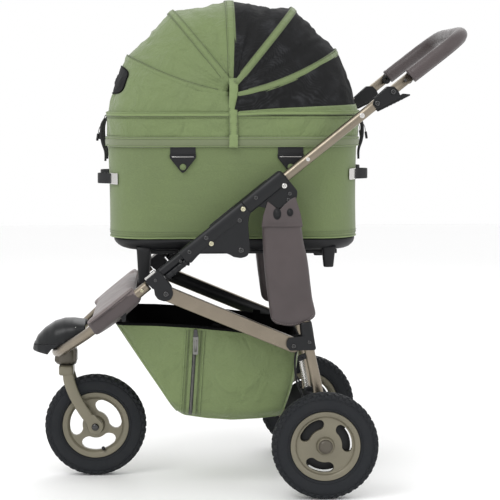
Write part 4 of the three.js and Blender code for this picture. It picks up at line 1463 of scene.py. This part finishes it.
def basket():
    columns, rows = 192, 40

    def point(u, v):
        if v <= 0.8:
            top = basket_point(u, 0)
            seam = max(0.012, (top[2] - curve_at(BASKET_SEAM, top[0])) / (top[2] - basket_point(u, 1)[2]))
            share = v / 0.8
            return basket_point(
                u, share * 4 * seam if share < 0.25 else seam + (share - 0.25) / 0.75 * (1 - seam)
            )
        x, y, z = basket_point(u, 1.0)
        shrink = 1 - (v - 0.8) / 0.2
        px = -48 + (x + 48) * shrink
        base = curve_at(BASKET_BOTTOM, px)
        return (px, y * shrink, base + (z - base) * shrink**3 - 2.5 * (1 - shrink))

    bag = grid("basket_bag", columns, rows, point, "green", 1.6, True)
    bag.data.materials.append(MAT["band"])
    bag.data.materials.append(MAT["band"])
    for polygon in bag.data.polygons:
        if polygon.center.z / MM > curve_at(BASKET_SEAM, polygon.center.x / MM):
            polygon.material_index = 1
    bag.modifiers["cloth_thickness"].material_offset = 1
    declare(bag, "lower_links", "basket")

    trims = []
    for side in (-1, 1):
        at = lambda dx, v, out: np.array(
            basket_side(-121 + dx - 13 * v, 0.02 + 0.965 * v, side)
        ) + (0, side * out, 0)
        heights = np.linspace(0.01, 0.99, 40)
        trims.append(
            grid(
                f"basket_zip_tape_{side}", 8, 30, lambda u, v: at((u - 0.5) * 22, 0.01 + 0.98 * v, 1.3),
                "green", 1.2
            )
        )
        trims.append(
            sweep(
                f"basket_zip_{side}", [at(0, v, 2.4) for v in heights], section(8, 2.2, 4, 12), "strap",
                (1, 0, 0)
            )
        )
        teeth = [at(0, v, 3.5) for v in np.linspace(0.2, 0.98, 64)]
        trims += [rod("zip_tooth", p - (2.2, 0, 0), p + (2.2, 0, 0), 0.8, "satin", 0.2, 6) for p in teeth]
        x, y, z = at(0, 0.02, 0)
        pull = slab(
            "pull", fillet([(x - 6.4, z - 53), (x + 5.4, z - 53), (x + 6.4, z - 12), (x - 5.6, z - 12)], 2),
            abs(y) + 4.4, abs(y) + 6.6, side, "satin", 0.6, 2
        )
        groove = slab(
            "groove",
            fillet([(x - 3.4, z - 47), (x + 2.4, z - 47), (x + 3.4, z - 20), (x - 2.6, z - 20)], 1.4),
            abs(y) + 6.4, abs(y) + 6.9, side, "satin", 0
        )
        slider = slab(
            "slider", fillet([(x - 5.6, z - 14), (x + 5.6, z - 14), (x + 3.6, z + 4), (x - 3.6, z + 4)], 2),
            abs(y) + 2.4, abs(y) + 6.9, side, "bolt", 0.8, 2
        )
        trims += [pull, groove, slider]
        for offset in (-22, -15, 13, 20):
            line = [at(offset, v, 1.6) for v in heights]
            trims.append(
                sweep(
                    f"basket_fold_{side}_{offset}", line, section(1.6, 1.2, 2, 8),
                    "green_thread" if abs(offset) < 16 else "green_band", (1, 0, 0)
                )
            )
            stitch_line(
                f"basket_stitch_{side}_{offset}", [p + (2.4, side * 0.5, 0) for p in line], "green_thread",
                4.4, 3.0, 0.5, body="lower_links"
            )
        for end in (0.02, 0.98):
            edge = [np.array(basket_at(end, side * 0.954, v)) for v in np.linspace(0.06, 0.99, 40)]
            outward = np.array((math.copysign(1.4, end - 0.5), side * 1.4, 0))
            trims.append(
                sweep(
                    f"basket_piping_{side}_{end}", [p + outward for p in edge], section(3.4, 3.4, 2, 10),
                    "green_band", (1, 0, 0)
                )
            )
        hem = [np.array(basket_at(u, side, 0.985)) + (0, side * 1.2, 0) for u in np.linspace(0.06, 0.94, 60)]
        trims.append(sweep(f"basket_hem_{side}", hem, section(3.4, 3.4, 2, 10), "green_band", (0, 1, 0)))
    for piece in trims:
        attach(piece, "lower_links")
    rim_path = [np.array(basket_point(p, 0.0)) + (0, 0, 1.5) for p in np.linspace(0, 1, 160, endpoint=False)]
    sweep(
        "basket_rim", rim_path, section(4.6, 4.6, 2, 12), "band", (0, 0, 1), closed=True, body="lower_links"
    )
    for label, side in SIDES:
        for k, u in enumerate((0.5, 0.82)):
            x, y, z = basket_side(-240 + 330 * u, 0.03, side)
            strap = slab(
                f"basket_hanger_{label}_{k}",
                fillet([(x - 9, z - 8), (x + 9, z - 10), (x + 10, z + 17), (x - 8, z + 19)], 3), abs(y) - 4.4,
                abs(y) - 2.6, side, "band", 0.6, 1
            )
            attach(strap, "lower_links")


def basket_side(x, v, side):
    """The point of the basket's long side at x, v of the way down."""
    low, high = 0.02, 0.98
    for _ in range(20):
        u = (low + high) / 2
        found = basket_at(u, side, v)
        low, high = (u, high) if found[0] < x else (low, u)
    return found


# ---- platform and front pad -----------------------------------------------------------
def platform():
    """Two moulded cross bars and two rails that the cot sits on."""
    pieces = []
    for x0, x1 in ((-160, -138), (-40, -16)):
        path = [((x0 + x1) / 2, y, 531.2) for y in (-179.5, -178.5, -176, 176, 178.5, 179.5)]
        pieces.append(
            sweep(
                "platform_bar", path, section(x1 - x0 - 0.6, 9.8, 5, 28), "black", (1, 0, 0),
                [0.9, 0.98, 1, 1, 0.98, 0.9]
            )
        )
    for y in (-96, 96):
        path = [(x, y, 531.2) for x in (-244.5, -243.5, -241, 196, 198.5, 199.5)]
        pieces.append(
            sweep(
                "platform_rail", path, section(23.4, 9.8, 5, 28), "black", (0, 1, 0),
                [0.9, 0.98, 1, 1, 0.98, 0.9]
            )
        )
    join("platform_frame", pieces, "chassis", "cot_platform")


def front_pad():
    """The padded leather apron over the front tube: a crowned U with piped edges and a stitched seam."""
    plan = [(-160, 213), (-182, 213.5), (-222, 213.5), (-252, 209), (-290, 192)]
    low, high = -20.6, 18.2
    s_values = np.interp(np.linspace(0, 1, 26), np.linspace(0, 1, 5), [p[0] for p in plan])
    y_values = np.interp(s_values[::-1], [p[0] for p in reversed(plan)], [p[1] for p in reversed(plan)])[::-1]

    def arm(side):
        rings = []
        for k, (s, y) in enumerate(zip(s_values, y_values)):
            ring = []
            end = min(1.0, 0.90 + 0.1 * min(k, 4) / 4)
            width = (y - 150) / 2
            middle = (y + 150) / 2
            for px, pn in section(2 * width * end, (high - low) * end * 0.96, 4.5, 28):
                x, z = on_bar(s, (low + high) / 2 + pn + 1.2 * math.cos(px / width * 1.4))
                ring.append((x, side * (middle + px), z))
            rings.append(ring)
        return loft("pad_arm", rings, "leather_painted_lit")

    rings = []
    for y in np.linspace(-178, 178, 30):
        ring = []
        for ps, pn in section(130, 18.4, 5, 32):
            s = -224 + ps
            if s < -222:
                s = max(s, -289 + max(0.0, (abs(y) - 150)) * 0.2)
            crown = 2.2 * math.cos(math.pi * y / 390) * (1 - (ps / 66) ** 2)
            x, z = on_bar(s, 7.8 + pn + crown)
            ring.append((x, y, z))
        rings.append(ring)
    bridge = loft("pad_bridge", rings, "leather_painted_lit")
    pad = join("front_pad_leather", [bridge, arm(-1), arm(1)])
    inflate(pad, 5.0, 3.0, 3.0)
    # Painted light and shade: the pad's top keeps the lighter leather, and its side and under faces get the
    # darker leather.
    paint_shade_on_sides(pad)
    declare(pad, "chassis", "front_pad")
    for label, side in SIDES:
        edge = [(*on_bar(s, high - 3.2), y) for s, y in zip(s_values, y_values)]
        path = [(x, side * (y + 0.2), z) for x, z, y in edge[1:-1]]
        sweep(f"pad_piping_{label}", path, section(3.0, 3.0, 2, 10), "leather", (0, 1, 0), body="chassis")
        lower = [
            (on_bar(s, high + 0.4)[0], side * (y - 9), on_bar(s, high + 0.4)[1])
            for s, y in zip(s_values[1:-1], y_values[1:-1])
        ]
        stitch_line(f"pad_stitch_{label}", lower, "thread", 5.0, 3.4, 0.5, body="chassis")
        x, z = on_bar(-215, low + 3)
        fin = fillet([(x - 7, z + 3), (x + 8, z + 10), (x + 5, z - 13), (x - 2, z - 12)], 2)
        slab(f"pad_strap_{label}", fin, 196, 200, side, "strap", 0.8, 1, body="chassis")


def paint_shade_on_sides(piece):
    """Painted shade: gives the faces that look sideways or down the darker leather; the upward faces keep the
    lighter copy with painted light.
    """
    piece.data.materials.append(MAT["leather"])
    for polygon in piece.data.polygons:
        if polygon.normal.z < 0.25:
            polygon.material_index = 1


def inflate(piece, voxel, cap, pressure):
    """Swells a closed piece like a stuffed one: a short cloth run with each point's travel capped."""
    if piece.modifiers:
        apply_modifiers(piece)
    remesh = piece.modifiers.new("remesh", "REMESH")
    remesh.mode = "VOXEL"
    remesh.voxel_size = voxel * MM
    remesh.use_smooth_shade = True
    apply_modifiers(piece)
    rest = np.array([v.co for v in piece.data.vertices])
    cloth = piece.modifiers.new("cloth", "CLOTH")
    cloth.settings.use_pressure = True
    cloth.settings.uniform_pressure_force = pressure
    cloth.settings.effector_weights.gravity = 0
    cloth.settings.quality = 4
    scene = bpy.context.scene
    for step in range(1, 21):
        scene.frame_set(step)
    graph = bpy.context.evaluated_depsgraph_get()
    puffed = np.array([v.co for v in piece.evaluated_get(graph).data.vertices])
    piece.modifiers.clear()
    scene.frame_set(1)
    move = puffed - rest
    length = np.linalg.norm(move, axis=1)[:, None]
    move *= np.minimum(1.0, cap * MM / np.maximum(length, 1e-9))
    piece.data.vertices.foreach_set("co", (rest + move).ravel())
    smooth = piece.modifiers.new("smooth", "SUBSURF")
    smooth.levels = smooth.render_levels = 1
    apply_modifiers(piece)
    for polygon in piece.data.polygons:
        polygon.use_smooth = True
    return piece


# ---- cot ----------------------------------------------------------------------------------
COT_RINGS = {
    563: (-313, 247, 153, 92), 762: (-316, 246, 163, 95), 790: (-318.5, 248, 165, 96),
    838: (-318, 250, 164, 95)
}
SEAM_Z = 838.0
COT_X0, COT_X1 = COT_RINGS[762][0], COT_RINGS[762][1]


def cot_ring(z, inset=0.0):
    """Front, back, half width and corner radius of the cot at a height."""
    heights = sorted(COT_RINGS)
    front, back, half, corner = (
        float(np.interp(z, heights, [COT_RINGS[h][i] for h in heights]))
        for i in range(4)
    )
    return front + inset, back - inset, half - inset, max(4.0, corner - inset)


def ring_point(ring, p):
    """A point round a rounded rectangle: p runs from 0 to 1, forwards from the middle of the left side."""
    front, back, half, corner = ring
    length, width = back - front - 2 * corner, 2 * (half - corner)
    quarter = math.pi / 2 * corner
    total = 2 * (length + width) + 4 * quarter
    d = (p % 1.0) * total
    parts = [length / 2, quarter, width, quarter, length, quarter, width, quarter, length / 2]
    corners = [
        (front + corner, -half + corner), (front + corner, half - corner), (back - corner, half - corner),
        (back - corner, -half + corner)
    ]
    mid_x = (front + back) / 2
    for k, part in enumerate(parts):
        if d <= part or k == 8:
            break
        d -= part
    if k == 0:
        return (mid_x - d, -half)
    if k == 4:
        return (front + corner + d, half)
    if k == 8:
        return (back - corner - d, -half)
    if k == 2:
        return (front, -half + corner + d)
    if k == 6:
        return (back, half - corner - d)
    cx, cy = corners[(k - 1) // 2]
    turn = {1: -90, 3: 180, 5: 90, 7: 0}[k] - math.degrees(d / corner)
    return (cx + corner * math.cos(math.radians(turn)), cy + corner * math.sin(math.radians(turn)))


def cot_skin(name, low, high, rows, material, shape, replaces=()):
    """A cloth band round the cot between two heights; shape gives (inset, lift) for u round and v up."""
    def point(u, v):
        z = low + (high - low) * v
        inset, lift = shape(u, v)
        x, y = ring_point(cot_ring(z, inset), u)
        return (x, y, z + lift)
    grid(name, 240, rows, point, material, 1.6, True, body="cot", replaces=replaces)


def cot():
    def wall(u, v):
        x, y = ring_point(cot_ring(660), u)
        soft = 1.2 * fold_noise(x, y, v * 40, 120.0) + 0.5 * fold_noise(x, y, 60 + v * 60, 45.0)
        tuck = 6.5 * max(0.0, 1 - v * 200 / 9) ** 2
        return (1.2 + (soft + 0.9) * math.sin(math.pi * v) + tuck, 0)

    cot_skin("cot_wall_outer", 564, 772, 44, "green_panel", wall, replaces=("cot_walls",))

    def lining_shape(u, v):
        x, y = ring_point(cot_ring(700), u)
        return (6.6 + 0.7 * fold_noise(x, y, v * 60 + 20, 60.0), 0)
    cot_skin("cot_lining", 573, 836, 30, "lining", lining_shape)

    def floor_point(u, v):
        ring = cot_ring(574, 7.0)
        x, y = ring_point(ring, u)
        middle = (ring[0] + ring[1]) / 2
        fill = 10 * (1 - (1 - v) ** 4) * (1 + 0.25 * fold_noise(x * v, y * v, 9, 60.0))
        return (middle + (x - middle) * (1 - v), y * (1 - v), 571.5 + min(fill, 11))
    grid("cot_cushion", 120, 14, floor_point, "lining", 1.6, True, body="cot")

    def flap_shape(u, v):
        x, y = ring_point(cot_ring(800), u)
        ripple = 2.8 * fold_noise(x, y, v * 26 + 5, 42.0, 2.0) + 1.4 * fold_noise(x, y, v * 40, 19.0, 1.6)
        return (1.0 - ripple * math.sin(math.pi * v) ** 0.7, 0)
    cot_skin("cot_flap", 788, 837, 18, "green", flap_shape)

    rim_rows = [
        (770, 1.5), (769.2, -1.2), (770.8, -2.8), (774.5, -3.8), (779, -4.2), (784, -3.8), (788, -2.6),
        (790.2, -1.0), (789.4, 1.8)
    ]
    def rim_point(u, v):
        k = v * (len(rim_rows) - 1)
        z = float(np.interp(k, range(len(rim_rows)), [r[0] for r in rim_rows]))
        inset = float(np.interp(k, range(len(rim_rows)), [r[1] for r in rim_rows]))
        x, y = ring_point(cot_ring(776, inset), u)
        return (x, y, z + 0.8 * fold_noise(x, y, 40, 150.0))
    grid("cot_rim_band", 260, 18, rim_point, "rim_band", 1.4, True, body="cot")
    for z, inset, name in ((787.6, -4.6, "upper"), (770.6, -4.4, "lower")):
        path = [(*ring_point(cot_ring(776, inset), p), z) for p in np.linspace(0, 1, 300, endpoint=False)]
        sweep(
            f"rim_cord_{name}", path, section(1.5, 1.5, 2, 8), "green_band", (0, 0, 1), closed=True,
            body="cot"
        )
    for z, inset, name in (
        (574.5, 0.2, "hem"), (579.5, 0.0, "hem_upper"), (831.5, -0.2, "flap"), (793.6, -0.3, "flap_low")
    ):
        path = [(*ring_point(cot_ring(z, inset), p), z) for p in np.linspace(0, 1, 300)]
        stitch_line(f"cot_stitch_{name}", path, "green_thread", 5.0, 3.4, 0.45, body="cot")
    path = [(*ring_point(cot_ring(566.5, 1.6), p), 566.0) for p in np.linspace(0, 1, 300, endpoint=False)]
    sweep(
        "cot_bottom_piping", path, section(3.6, 3.6, 2, 10), "green_band", (0, 0, 1), closed=True, body="cot"
    )


def seam_zip():
    """The zip between the cot and the hood: tape, a raised tooth row, its cord and two pulls at each end."""
    def tape(u, v):
        x, y = ring_point(cot_ring(838, -0.9), u)
        return (x, y, 834.5 + 9.0 * v + (4 * smooth_step((x + 60) / 120)))
    grid("hood_zip_tape", 260, 4, tape, "green_band", 1.6, True, body="cot")
    for dz, inset, width, material in ((0.6, -2.0, 2.2, "green_thread"), (8.6, -1.8, 1.8, "green_band")):
        path = []
        for p in np.linspace(0, 1, 300, endpoint=False):
            x, y = ring_point(cot_ring(838, inset), p)
            path.append((x, y, 835.5 + dz + 4 * smooth_step((x + 60) / 120)))
        sweep(
            f"hood_zip_line_{dz}", path, section(width, width, 2, 8), material, (0, 0, 1), closed=True,
            body="cot"
        )
    for end, x in (("front", COT_X0 - 4.5), ("rear", COT_X1 + 4.5)):
        out = -1 if end == "front" else 1
        for y in (-58, 58):
            top = 838 if end == "front" else 842
            ring = [(x + out * 3 * math.sin(t), y, top - 7 + 6.5 * math.cos(t)) for t in turns(20)]
            sweep(
                f"zip_ring_{end}_{y}", ring, section(1.8, 1.8, 2, 8), "black_soft", (0, 1, 0), closed=True,
                body="cot"
            )
            strap = spline(
                [
                    (x + out * 3, y, top - 8), (x + out * 9, y, top - 24), (x + out * 10, y, top - 46),
                    (x + out * 7, y, top - 64), (x + out * 2, y, top - 84), (x + out * 2, y, top - 104)
                ],
                30
            )
            sweep(
                f"zip_pull_{end}_{y}", strap, section(11, 8, 3.5, 16), "strap", (0, 1, 0),
                np.interp(range(30), [0, 4, 17, 21, 29], [0.5, 1.0, 1.0, 0.75, 0.6]), body="cot"
            )
            string = spline(
                [
                    (x + out * 4, y - 4, top - 14), (x + out * 14, y - 5, top - 28),
                    (x + out * 18, y - 5, top - 44)
                ],
                20
            )
            sweep(f"zip_string_{end}_{y}", string, section(1.5, 1.5, 2, 8), "strap", (0, 1, 0), body="cot")
            rod(
                f"zip_bead_{end}_{y}", (x + out * 17.6, y - 5, top - 42), (x + out * 20, y - 5, top - 58),
                2.8, "black_soft", 0.8, 14, body="cot"
            )


def smooth_step(t):
    t = min(1.0, max(0.0, t))
    return t * t * (3 - 2 * t)


def d_tabs():
    """Webbing tabs under the rim with a silver bar and a black triangular loop."""
    for label, side in SIDES:
        for name, x in (("front", -148), ("rear", 90)):
            half = cot_ring(740)[2] + 0.4
            place = lambda dx, dz, out: (x + dx, side * (half + out), 768 + dz)
            strap = slab(
                f"tab_strap_{name}_{label}",
                fillet([(x - 28, 748), (x + 28, 748), (x + 28, 771), (x - 28, 771)], 1.5), half + 0.4,
                half + 2.8, side, "strap", 0.5, 1
            )
            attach(strap, "cot")
            rod(
                f"tab_bar_{name}_{label}", place(-29, -17, 2.8), place(29, -17, 2.8), 2.6, "black_soft", 0.8,
                16, body="cot"
            )
            rod(
                f"tab_edge_{name}_{label}", place(-24, -20.6, 3.6), place(24, -20.6, 3.6), 0.9, "chrome", 0.3,
                10, body="cot"
            )
            outline = fillet(
                [(x - 28.5, 751), (x - 29, 745), (x, 709), (x + 29, 745), (x + 28.5, 751)], [3, 5, 7, 5, 3]
            )
            slab(
                f"tab_triangle_{name}_{label}", outline, half + 0.6, half + 4.0, side, "black_soft", 0.9,
                body="cot"
            )
            lathe(
                f"tab_window_{name}_{label}",
                [(0, side * (half + 4.1)), (7.8, side * (half + 4.1)), (8.0, side * (half + 3))], (x, 0, 725),
                "green_panel", segments=28, body="cot"
            )
            ring = [place(8.2 * math.cos(t), -43 + 8.2 * math.sin(t), 4.2) for t in turns(24)]
            sweep(
                f"tab_eyelet_{name}_{label}", ring, section(1.8, 1.8, 2, 8), "black_soft", (0, 1, 0),
                closed=True, body="cot"
            )


def side_buckles():
    """Silver brackets with black webbing loops at the four corners of the cot."""
    for label, side in SIDES:
        for end, out, height in (("front", -1, 697), ("rear", 1, 706.5)):
            front, back, half, corner = cot_ring(705)
            path = []
            for p in np.linspace(-0.9, 0.9, 12):
                angle = math.radians(27 + 16 * p)
                cx = (front + corner) if out < 0 else (back - corner)
                cy = side * (half - corner)
                path.append(
                    (
                        cx + out * (corner + 1.9) * math.cos(angle),
                        cy + side * (corner + 1.9) * math.sin(angle), height
                    )
                )
            bracket = sweep(
                f"corner_bracket_{end}_{label}", path[4:], section(25, 3.0, 6, 20), "chrome", (0, 0, 1)
            )
            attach(bracket, "cot")
            loop = [
                np.array(path[5]), np.array(path[4]) + (out * 3.5, 0, 0),
                np.array(path[3]) + (out * 16, -side * 4, 0), np.array(path[2]) + (out * 25, -side * 10, 0),
                np.array(path[1]) + (out * 22, -side * 20, 0), np.array(path[0]) + (out * 5, -side * 22, 0),
                np.array(path[0]) + (out * 1.2, -side * 18, 0)
            ]
            strap = sweep(
                f"corner_strap_{end}_{label}", spline(loop, 40), section(23, 2.4, 6, 20), "strap", (0, 0, 1)
            )
            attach(strap, "cot")


def tray():
    """The black moulded tray under the cot with a rolled lip and four feet."""
    levels = [
        (537.4, (-268, 216, 126, 70)), (538, (-277, 224, 134, 76)), (541, (-287, 231, 141, 82)),
        (546, (-295, 237, 147, 87)), (551.5, (-300.5, 241, 151, 90)), (557, (-303.6, 243, 153.6, 92)),
        (561, (-304, 243, 154, 92)), (562.6, (-302.6, 241.6, 152.6, 91))
    ]
    columns = 200
    rings = [[(*ring_point(ring, k / columns), z) for k in range(columns)] for z, ring in levels]
    pieces = [loft("tray_shell", rings, "black_soft")]
    for x0, x1, z in ((-252, -220, 462.4), (163, 193, 498.4)):
        for side in (-1, 1):
            middle = (x0 + x1) / 2
            taper = ((z, 0.62), (z + 1.2, 0.72), (z + 4, 0.76), (535, 0.98), (545, 1.1))
            foot = section(x1 - x0, 22, 4, 28)
            rings = [[(middle + px * g, side * 130 + py * g, h) for px, py in foot] for h, g in taper]
            pieces.append(loft("tray_foot", rings, "black_soft"))
    join("cot_tray_moulding", pieces, "cot", "cot_tray")


# ---- hood ---------------------------------------------------------------------------------
BOWS = {
    "front_1": (163, 249.7, 160.8, 12, 50), "front_2": (128, 224.4, 156.4, -7, 0),
    "centre": (91.4, 202, 152, 0, 0), "rear_3": (52, 233.4, 165.2, -7, 0),
    "rear_4": (19.7, 258, 169.6, 12, 58),
}
ARCH_POWER = 0.72
CLOTH_THICKNESS = 1.2


def arch(name, t, grow=0.0):
    """A point of a bow: up from the hub on one side, down on the other, with a sag near the hub."""
    angle, length, half, drop, belly = BOWS[name]
    turn = math.pi * t
    phi = math.radians(angle)
    side = math.cos(turn)
    across = -math.copysign(abs(side) ** ARCH_POWER, side) * (half + grow)
    share = abs(math.sin(turn)) ** ARCH_POWER
    out = (length + grow) * share
    sag = drop * (1 - share) + belly * share * (1 - share)
    return np.array((HUB[0] + out * math.cos(phi), across, HUB[1] + out * math.sin(phi) - sag))


BAND_OUTLINE = np.array(
    [
        (-8, -0.6), (-8.2, 0.2), (-7.4, 0.9), (-5.6, 0.5), (-4.6, 1.5), (-2, 2.3), (0, 2.5), (2, 2.3),
        (4.6, 1.5), (5.6, 0.5), (7.4, 0.9), (8.2, 0.2), (8, -0.6), (0, -0.9)
    ]
)


def rib(name, width, body, replaces):
    """A bow in its sewn fabric sleeve, with a row of stitches along each edge."""
    angle = math.radians(BOWS[name][0])
    normal = np.array((-math.sin(angle), 0, math.cos(angle)))
    t = np.linspace(0.004, 0.996, 160)
    path = np.array([arch(name, v, -0.3) for v in t])
    outline = BAND_OUTLINE * (width / 16.0, 0.7)
    hub = np.array((HUB[0], 0, HUB[1]))
    tangents = np.gradient(path, axis=0)
    flip = 1.0 if np.dot(np.cross(normal, tangents[80]), path[80] - hub) > 0 else -1.0
    taper = np.interp(np.minimum(t, 1 - t), [0, 0.01, 0.05], [0.72, 0.8, 1.0])
    sweep(f"rib_{name}", path, outline, "green", normal * flip, taper, body=body, replaces=(replaces,))
    outward = path - hub
    outward /= np.linalg.norm(outward, axis=1)[:, None]
    for offset in (-0.35, 0.35):
        sweep(
            f"rib_edge_{name}_{offset}", (path + normal * offset * 1.44 * width + outward * 0.2)[3:-3],
            section(1.7, 1.5, 2, 8), "green_thread", normal, body=body
        )
        line = (path + normal * offset * width)[6:-6]
        stitch_line(
            f"rib_stitch_{name}_{offset}", line + outward[6:-6] * 0.8, "green_thread", 4.6, 3.1, 0.45,
            body=body
        )


def panel(name, a, b, material, replaces, rough):
    """Cloth stretched from one bow to the next, a little slack, with creases that run out from the hub."""
    columns, rows = 96, 26

    def point(u, v):
        t = 0.006 + 0.988 * u
        p = arch(a, t) * (1 - v) + arch(b, t) * v
        hub = np.array((HUB[0], p[1] * 0.6, HUB[1]))
        out = p - hub
        reach = np.linalg.norm(out)
        out /= reach
        slack = math.sin(math.pi * v)
        fan = math.atan2(out[2], out[0])
        crease = fold_noise(fan * 260, reach * 0.35, p[1] * 0.5, 34.0) * 4.4 + fold_noise(
            fan * 520, reach * 0.6, p[1] * 0.7 + 50, 30.0
        ) * 2.8
        strength = min(1.0, reach / 130) * slack
        return p - out * strength * (3.4 - crease * rough)
    piece = grid(name, columns, rows, point, material)
    thicken(piece, CLOTH_THICKNESS, -1)
    apply_modifiers(piece)
    start, end = ([v * MM for v in at_radius(bow, 0.75)] for bow in (a, b))
    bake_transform(piece)
    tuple(start)
    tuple(end)
    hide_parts(replaces)


def at_radius(name, share):
    angle, length = BOWS[name][:2]
    phi = math.radians(angle)
    return (HUB[0] + length * share * math.cos(phi), 0, HUB[1] + length * share * math.sin(phi))


def seam_point(end, u):
    """Round one end of the hood's zip line, from the middle of the left side to the middle of the right."""
    front, back, half, corner = cot_ring(SEAM_Z, 1.6)
    near = HUB[0]
    far = front if end < 0 else back
    straight = abs(far - near) - corner
    quarter = math.pi / 2 * corner
    across = 2 * (half - corner)
    total = 2 * straight + 2 * quarter + across
    d = min(u, 1 - u) * total
    if d <= straight:
        x, y = near + end * d, -half
    elif d <= straight + quarter:
        a = (d - straight) / corner
        x, y = near + end * (straight + corner * math.sin(a)), -half + corner * (1 - math.cos(a))
    else:
        x, y = far, -half + corner + (d - straight - quarter)
    return np.array((x, y if u <= 0.5 else -y, 840 + (4 if end > 0 else 0) * smooth_step((x + 60) / 120)))


def skirt_point(name, end, u, v, rough):
    """The hood's end cloth: from an outer bow at v 0 down to the zip line at v 1."""
    a = arch(name, 0.004 + 0.992 * u)
    b = seam_point(end, u)
    p = a * (1 - v) + b * v
    hub = np.array((HUB[0], 0, 830.0))
    out = p - hub
    out /= np.linalg.norm(out)
    slack = math.sin(math.pi * v)
    crease = fold_noise(p[0], p[1], p[2] * 0.5, 46.0) * 5.6 + fold_noise(
        p[0] * 1.5, p[1] * 1.5, p[2], 27.0
    ) * 3.2
    return p + out * slack * (3.5 + crease * rough)


def skirt(name, bow, end, body, material, replaces, rough):
    columns, rows = 120, 24
    piece = grid(name, columns, rows, lambda u, v: skirt_point(bow, end, u, v * 0.985, rough), material)
    thicken(piece, CLOTH_THICKNESS, -1)
    apply_modifiers(piece)
    declare(piece, body, replaces)


def strip_on_skirt(name, bow, end, v0, v1, lift, material, body):
    """A sewn band along the end cloth between two of its heights."""
    def point(u, v):
        t = 0.012 + 0.976 * u
        p = skirt_point(bow, end, t, v0 + (v1 - v0) * v, 1.0)
        out = p - np.array((HUB[0], 0, p[2]))
        out /= np.linalg.norm(out)
        return p + out * lift
    grid(name, 120, 4, point, material, CLOTH_THICKNESS, body=body)


def vent():
    """A rounded dark mesh window in the front end, with a bound edge."""
    def place(ku, kv, lift):
        p = skirt_point("front_1", -1, 0.5 + 0.165 * ku, 0.40 + 0.235 * kv, 1.0)
        out = p - np.array((HUB[0], 0, 830.0))
        return p + out / np.linalg.norm(out) * lift

    def around(angle, share, lift):
        across, down = (math.copysign(abs(c) ** 0.45, c) for c in (math.cos(angle), math.sin(angle)))
        return place(share * across, share * down, lift)

    window = lambda u, v: around(2 * math.pi * u, v, 1.4)
    grid("hood_vent", 56, 10, window, "net", 1.4, True, body="hood_front_1")
    edge = [around(t, 1, 1.8) for t in turns(80)]
    sweep("hood_vent_edge", edge, section(3, 3, 2, 8), "band", (0, 0, 1), closed=True, body="hood_front_1")


TAIL_X = -36.5


def centre_tail():
    """The centre band carried on below the hub to the rim, quilted across, with a cord down its back edge."""
    for label, side in SIDES:
        def point(u, v, side=side):
            z = 768 + (HUB[1] + 26 - 768) * v
            over_rim = 4.2 * smooth_step((796 - z) / 6)
            over_zip = 2.2 * smooth_step((v - 0.55) / 0.2)
            quilting = 0.6 * abs(math.sin(math.pi * v * 9)) + 1.5 * math.sin(math.pi * u)
            out = 164.4 + 3.2 * max(0.0, 1 - v) + over_rim + over_zip + quilting
            return (
                TAIL_X + (u - 0.5) * 19 + 0.6 * math.sin(v * 9),
                side * (out - 12 * max(0.0, v - 0.88) / 0.12), z
            )
        grid(f"centre_tail_{label}", 8, 60, point, "green_band", 2.0, body="cot")
        for dx in (-8.6, 8.6):
            path = [
                (
                    TAIL_X + dx + 0.6 * math.sin(v * 9), side * (165.6 + 3.0 * (1 - v)),
                    790 + (HUB[1] + 4 - 790) * v
                )
                for v in np.linspace(0, 1, 40)
            ]
            sweep(
                f"centre_cord_{label}_{dx}", path, section(1.8, 1.8, 2, 8), "green_thread", (1, 0, 0),
                body="cot"
            )
            stitch = [(x - math.copysign(2.6, dx), y + side * 0.9, z) for x, y, z in path]
            stitch_line(f"centre_stitch_{label}_{dx}", stitch, "green_thread", 4.6, 3.0, 0.45, body="cot")


def hood():
    rib("centre", 19, "cot", "hood_bow_centre")
    for bow in ("front_2", "front_1", "rear_3", "rear_4"):
        rib(bow, 15, f"hood_{bow}", f"hood_bow_{bow}")
    panel("hood_cloth_2", "centre", "front_2", "green", "hood_front_panel_2", 1.0)
    panel(
        "hood_cloth_1", "front_2", "front_1", "green", "hood_front_panel_1",
        1.0
    )
    panel("hood_net_1", "centre", "rear_3", "net", "hood_rear_mesh_1", 1.5)
    panel("hood_net_2", "rear_3", "rear_4", "net", "hood_rear_mesh_2", 1.5)
    skirt("hood_front_cloth", "front_1", -1, "hood_front_1", "green", "hood_front_skirt", 1.0)
    skirt("hood_rear_net", "rear_4", 1, "hood_rear_4", "net", "hood_rear_skirt", 1.0)
    strip_on_skirt("hood_rear_hem", "rear_4", 1, 0.86, 0.99, 1.0, "green", "hood_rear_4")
    strip_on_skirt("hood_front_hem", "front_1", -1, 0.955, 0.99, 0.9, "green_band", "hood_front_1")
    vent()
    centre_tail()


# ---- build ----------------------------------------------------------------------------------
set_stage()
wheels()
front_fork()
steering_head()
fender()
front_tube()
for side_label, side_sign in SIDES:
    side_castings(side_label, side_sign)
    frame_fasteners(side_label, side_sign)
    handle_tube(side_label, side_sign)
    lever_knob(side_label, side_sign)
    lever_set(side_label, side_sign)
    rear_leg(side_label, side_sign)
    leg_spring(side_label, side_sign)
    leg_cover(side_label, side_sign)
    lower_link(side_label, side_sign)
handle_grip()
brake_line()
axle()
brake()
basket()
platform()
front_pad()
tray()
cot()
seam_zip()
d_tabs()
side_buckles()
hood()
for pin in ("fold_pin", "leg_pin", "handle_bolt"):
    for side_label, _ in SIDES:
        metal_part = bpy.data.objects.get(f"{pin}_{side_label}")
        if metal_part:
            metal_part.data.materials.clear()
            metal_part.data.materials.append(MAT["bolt"])
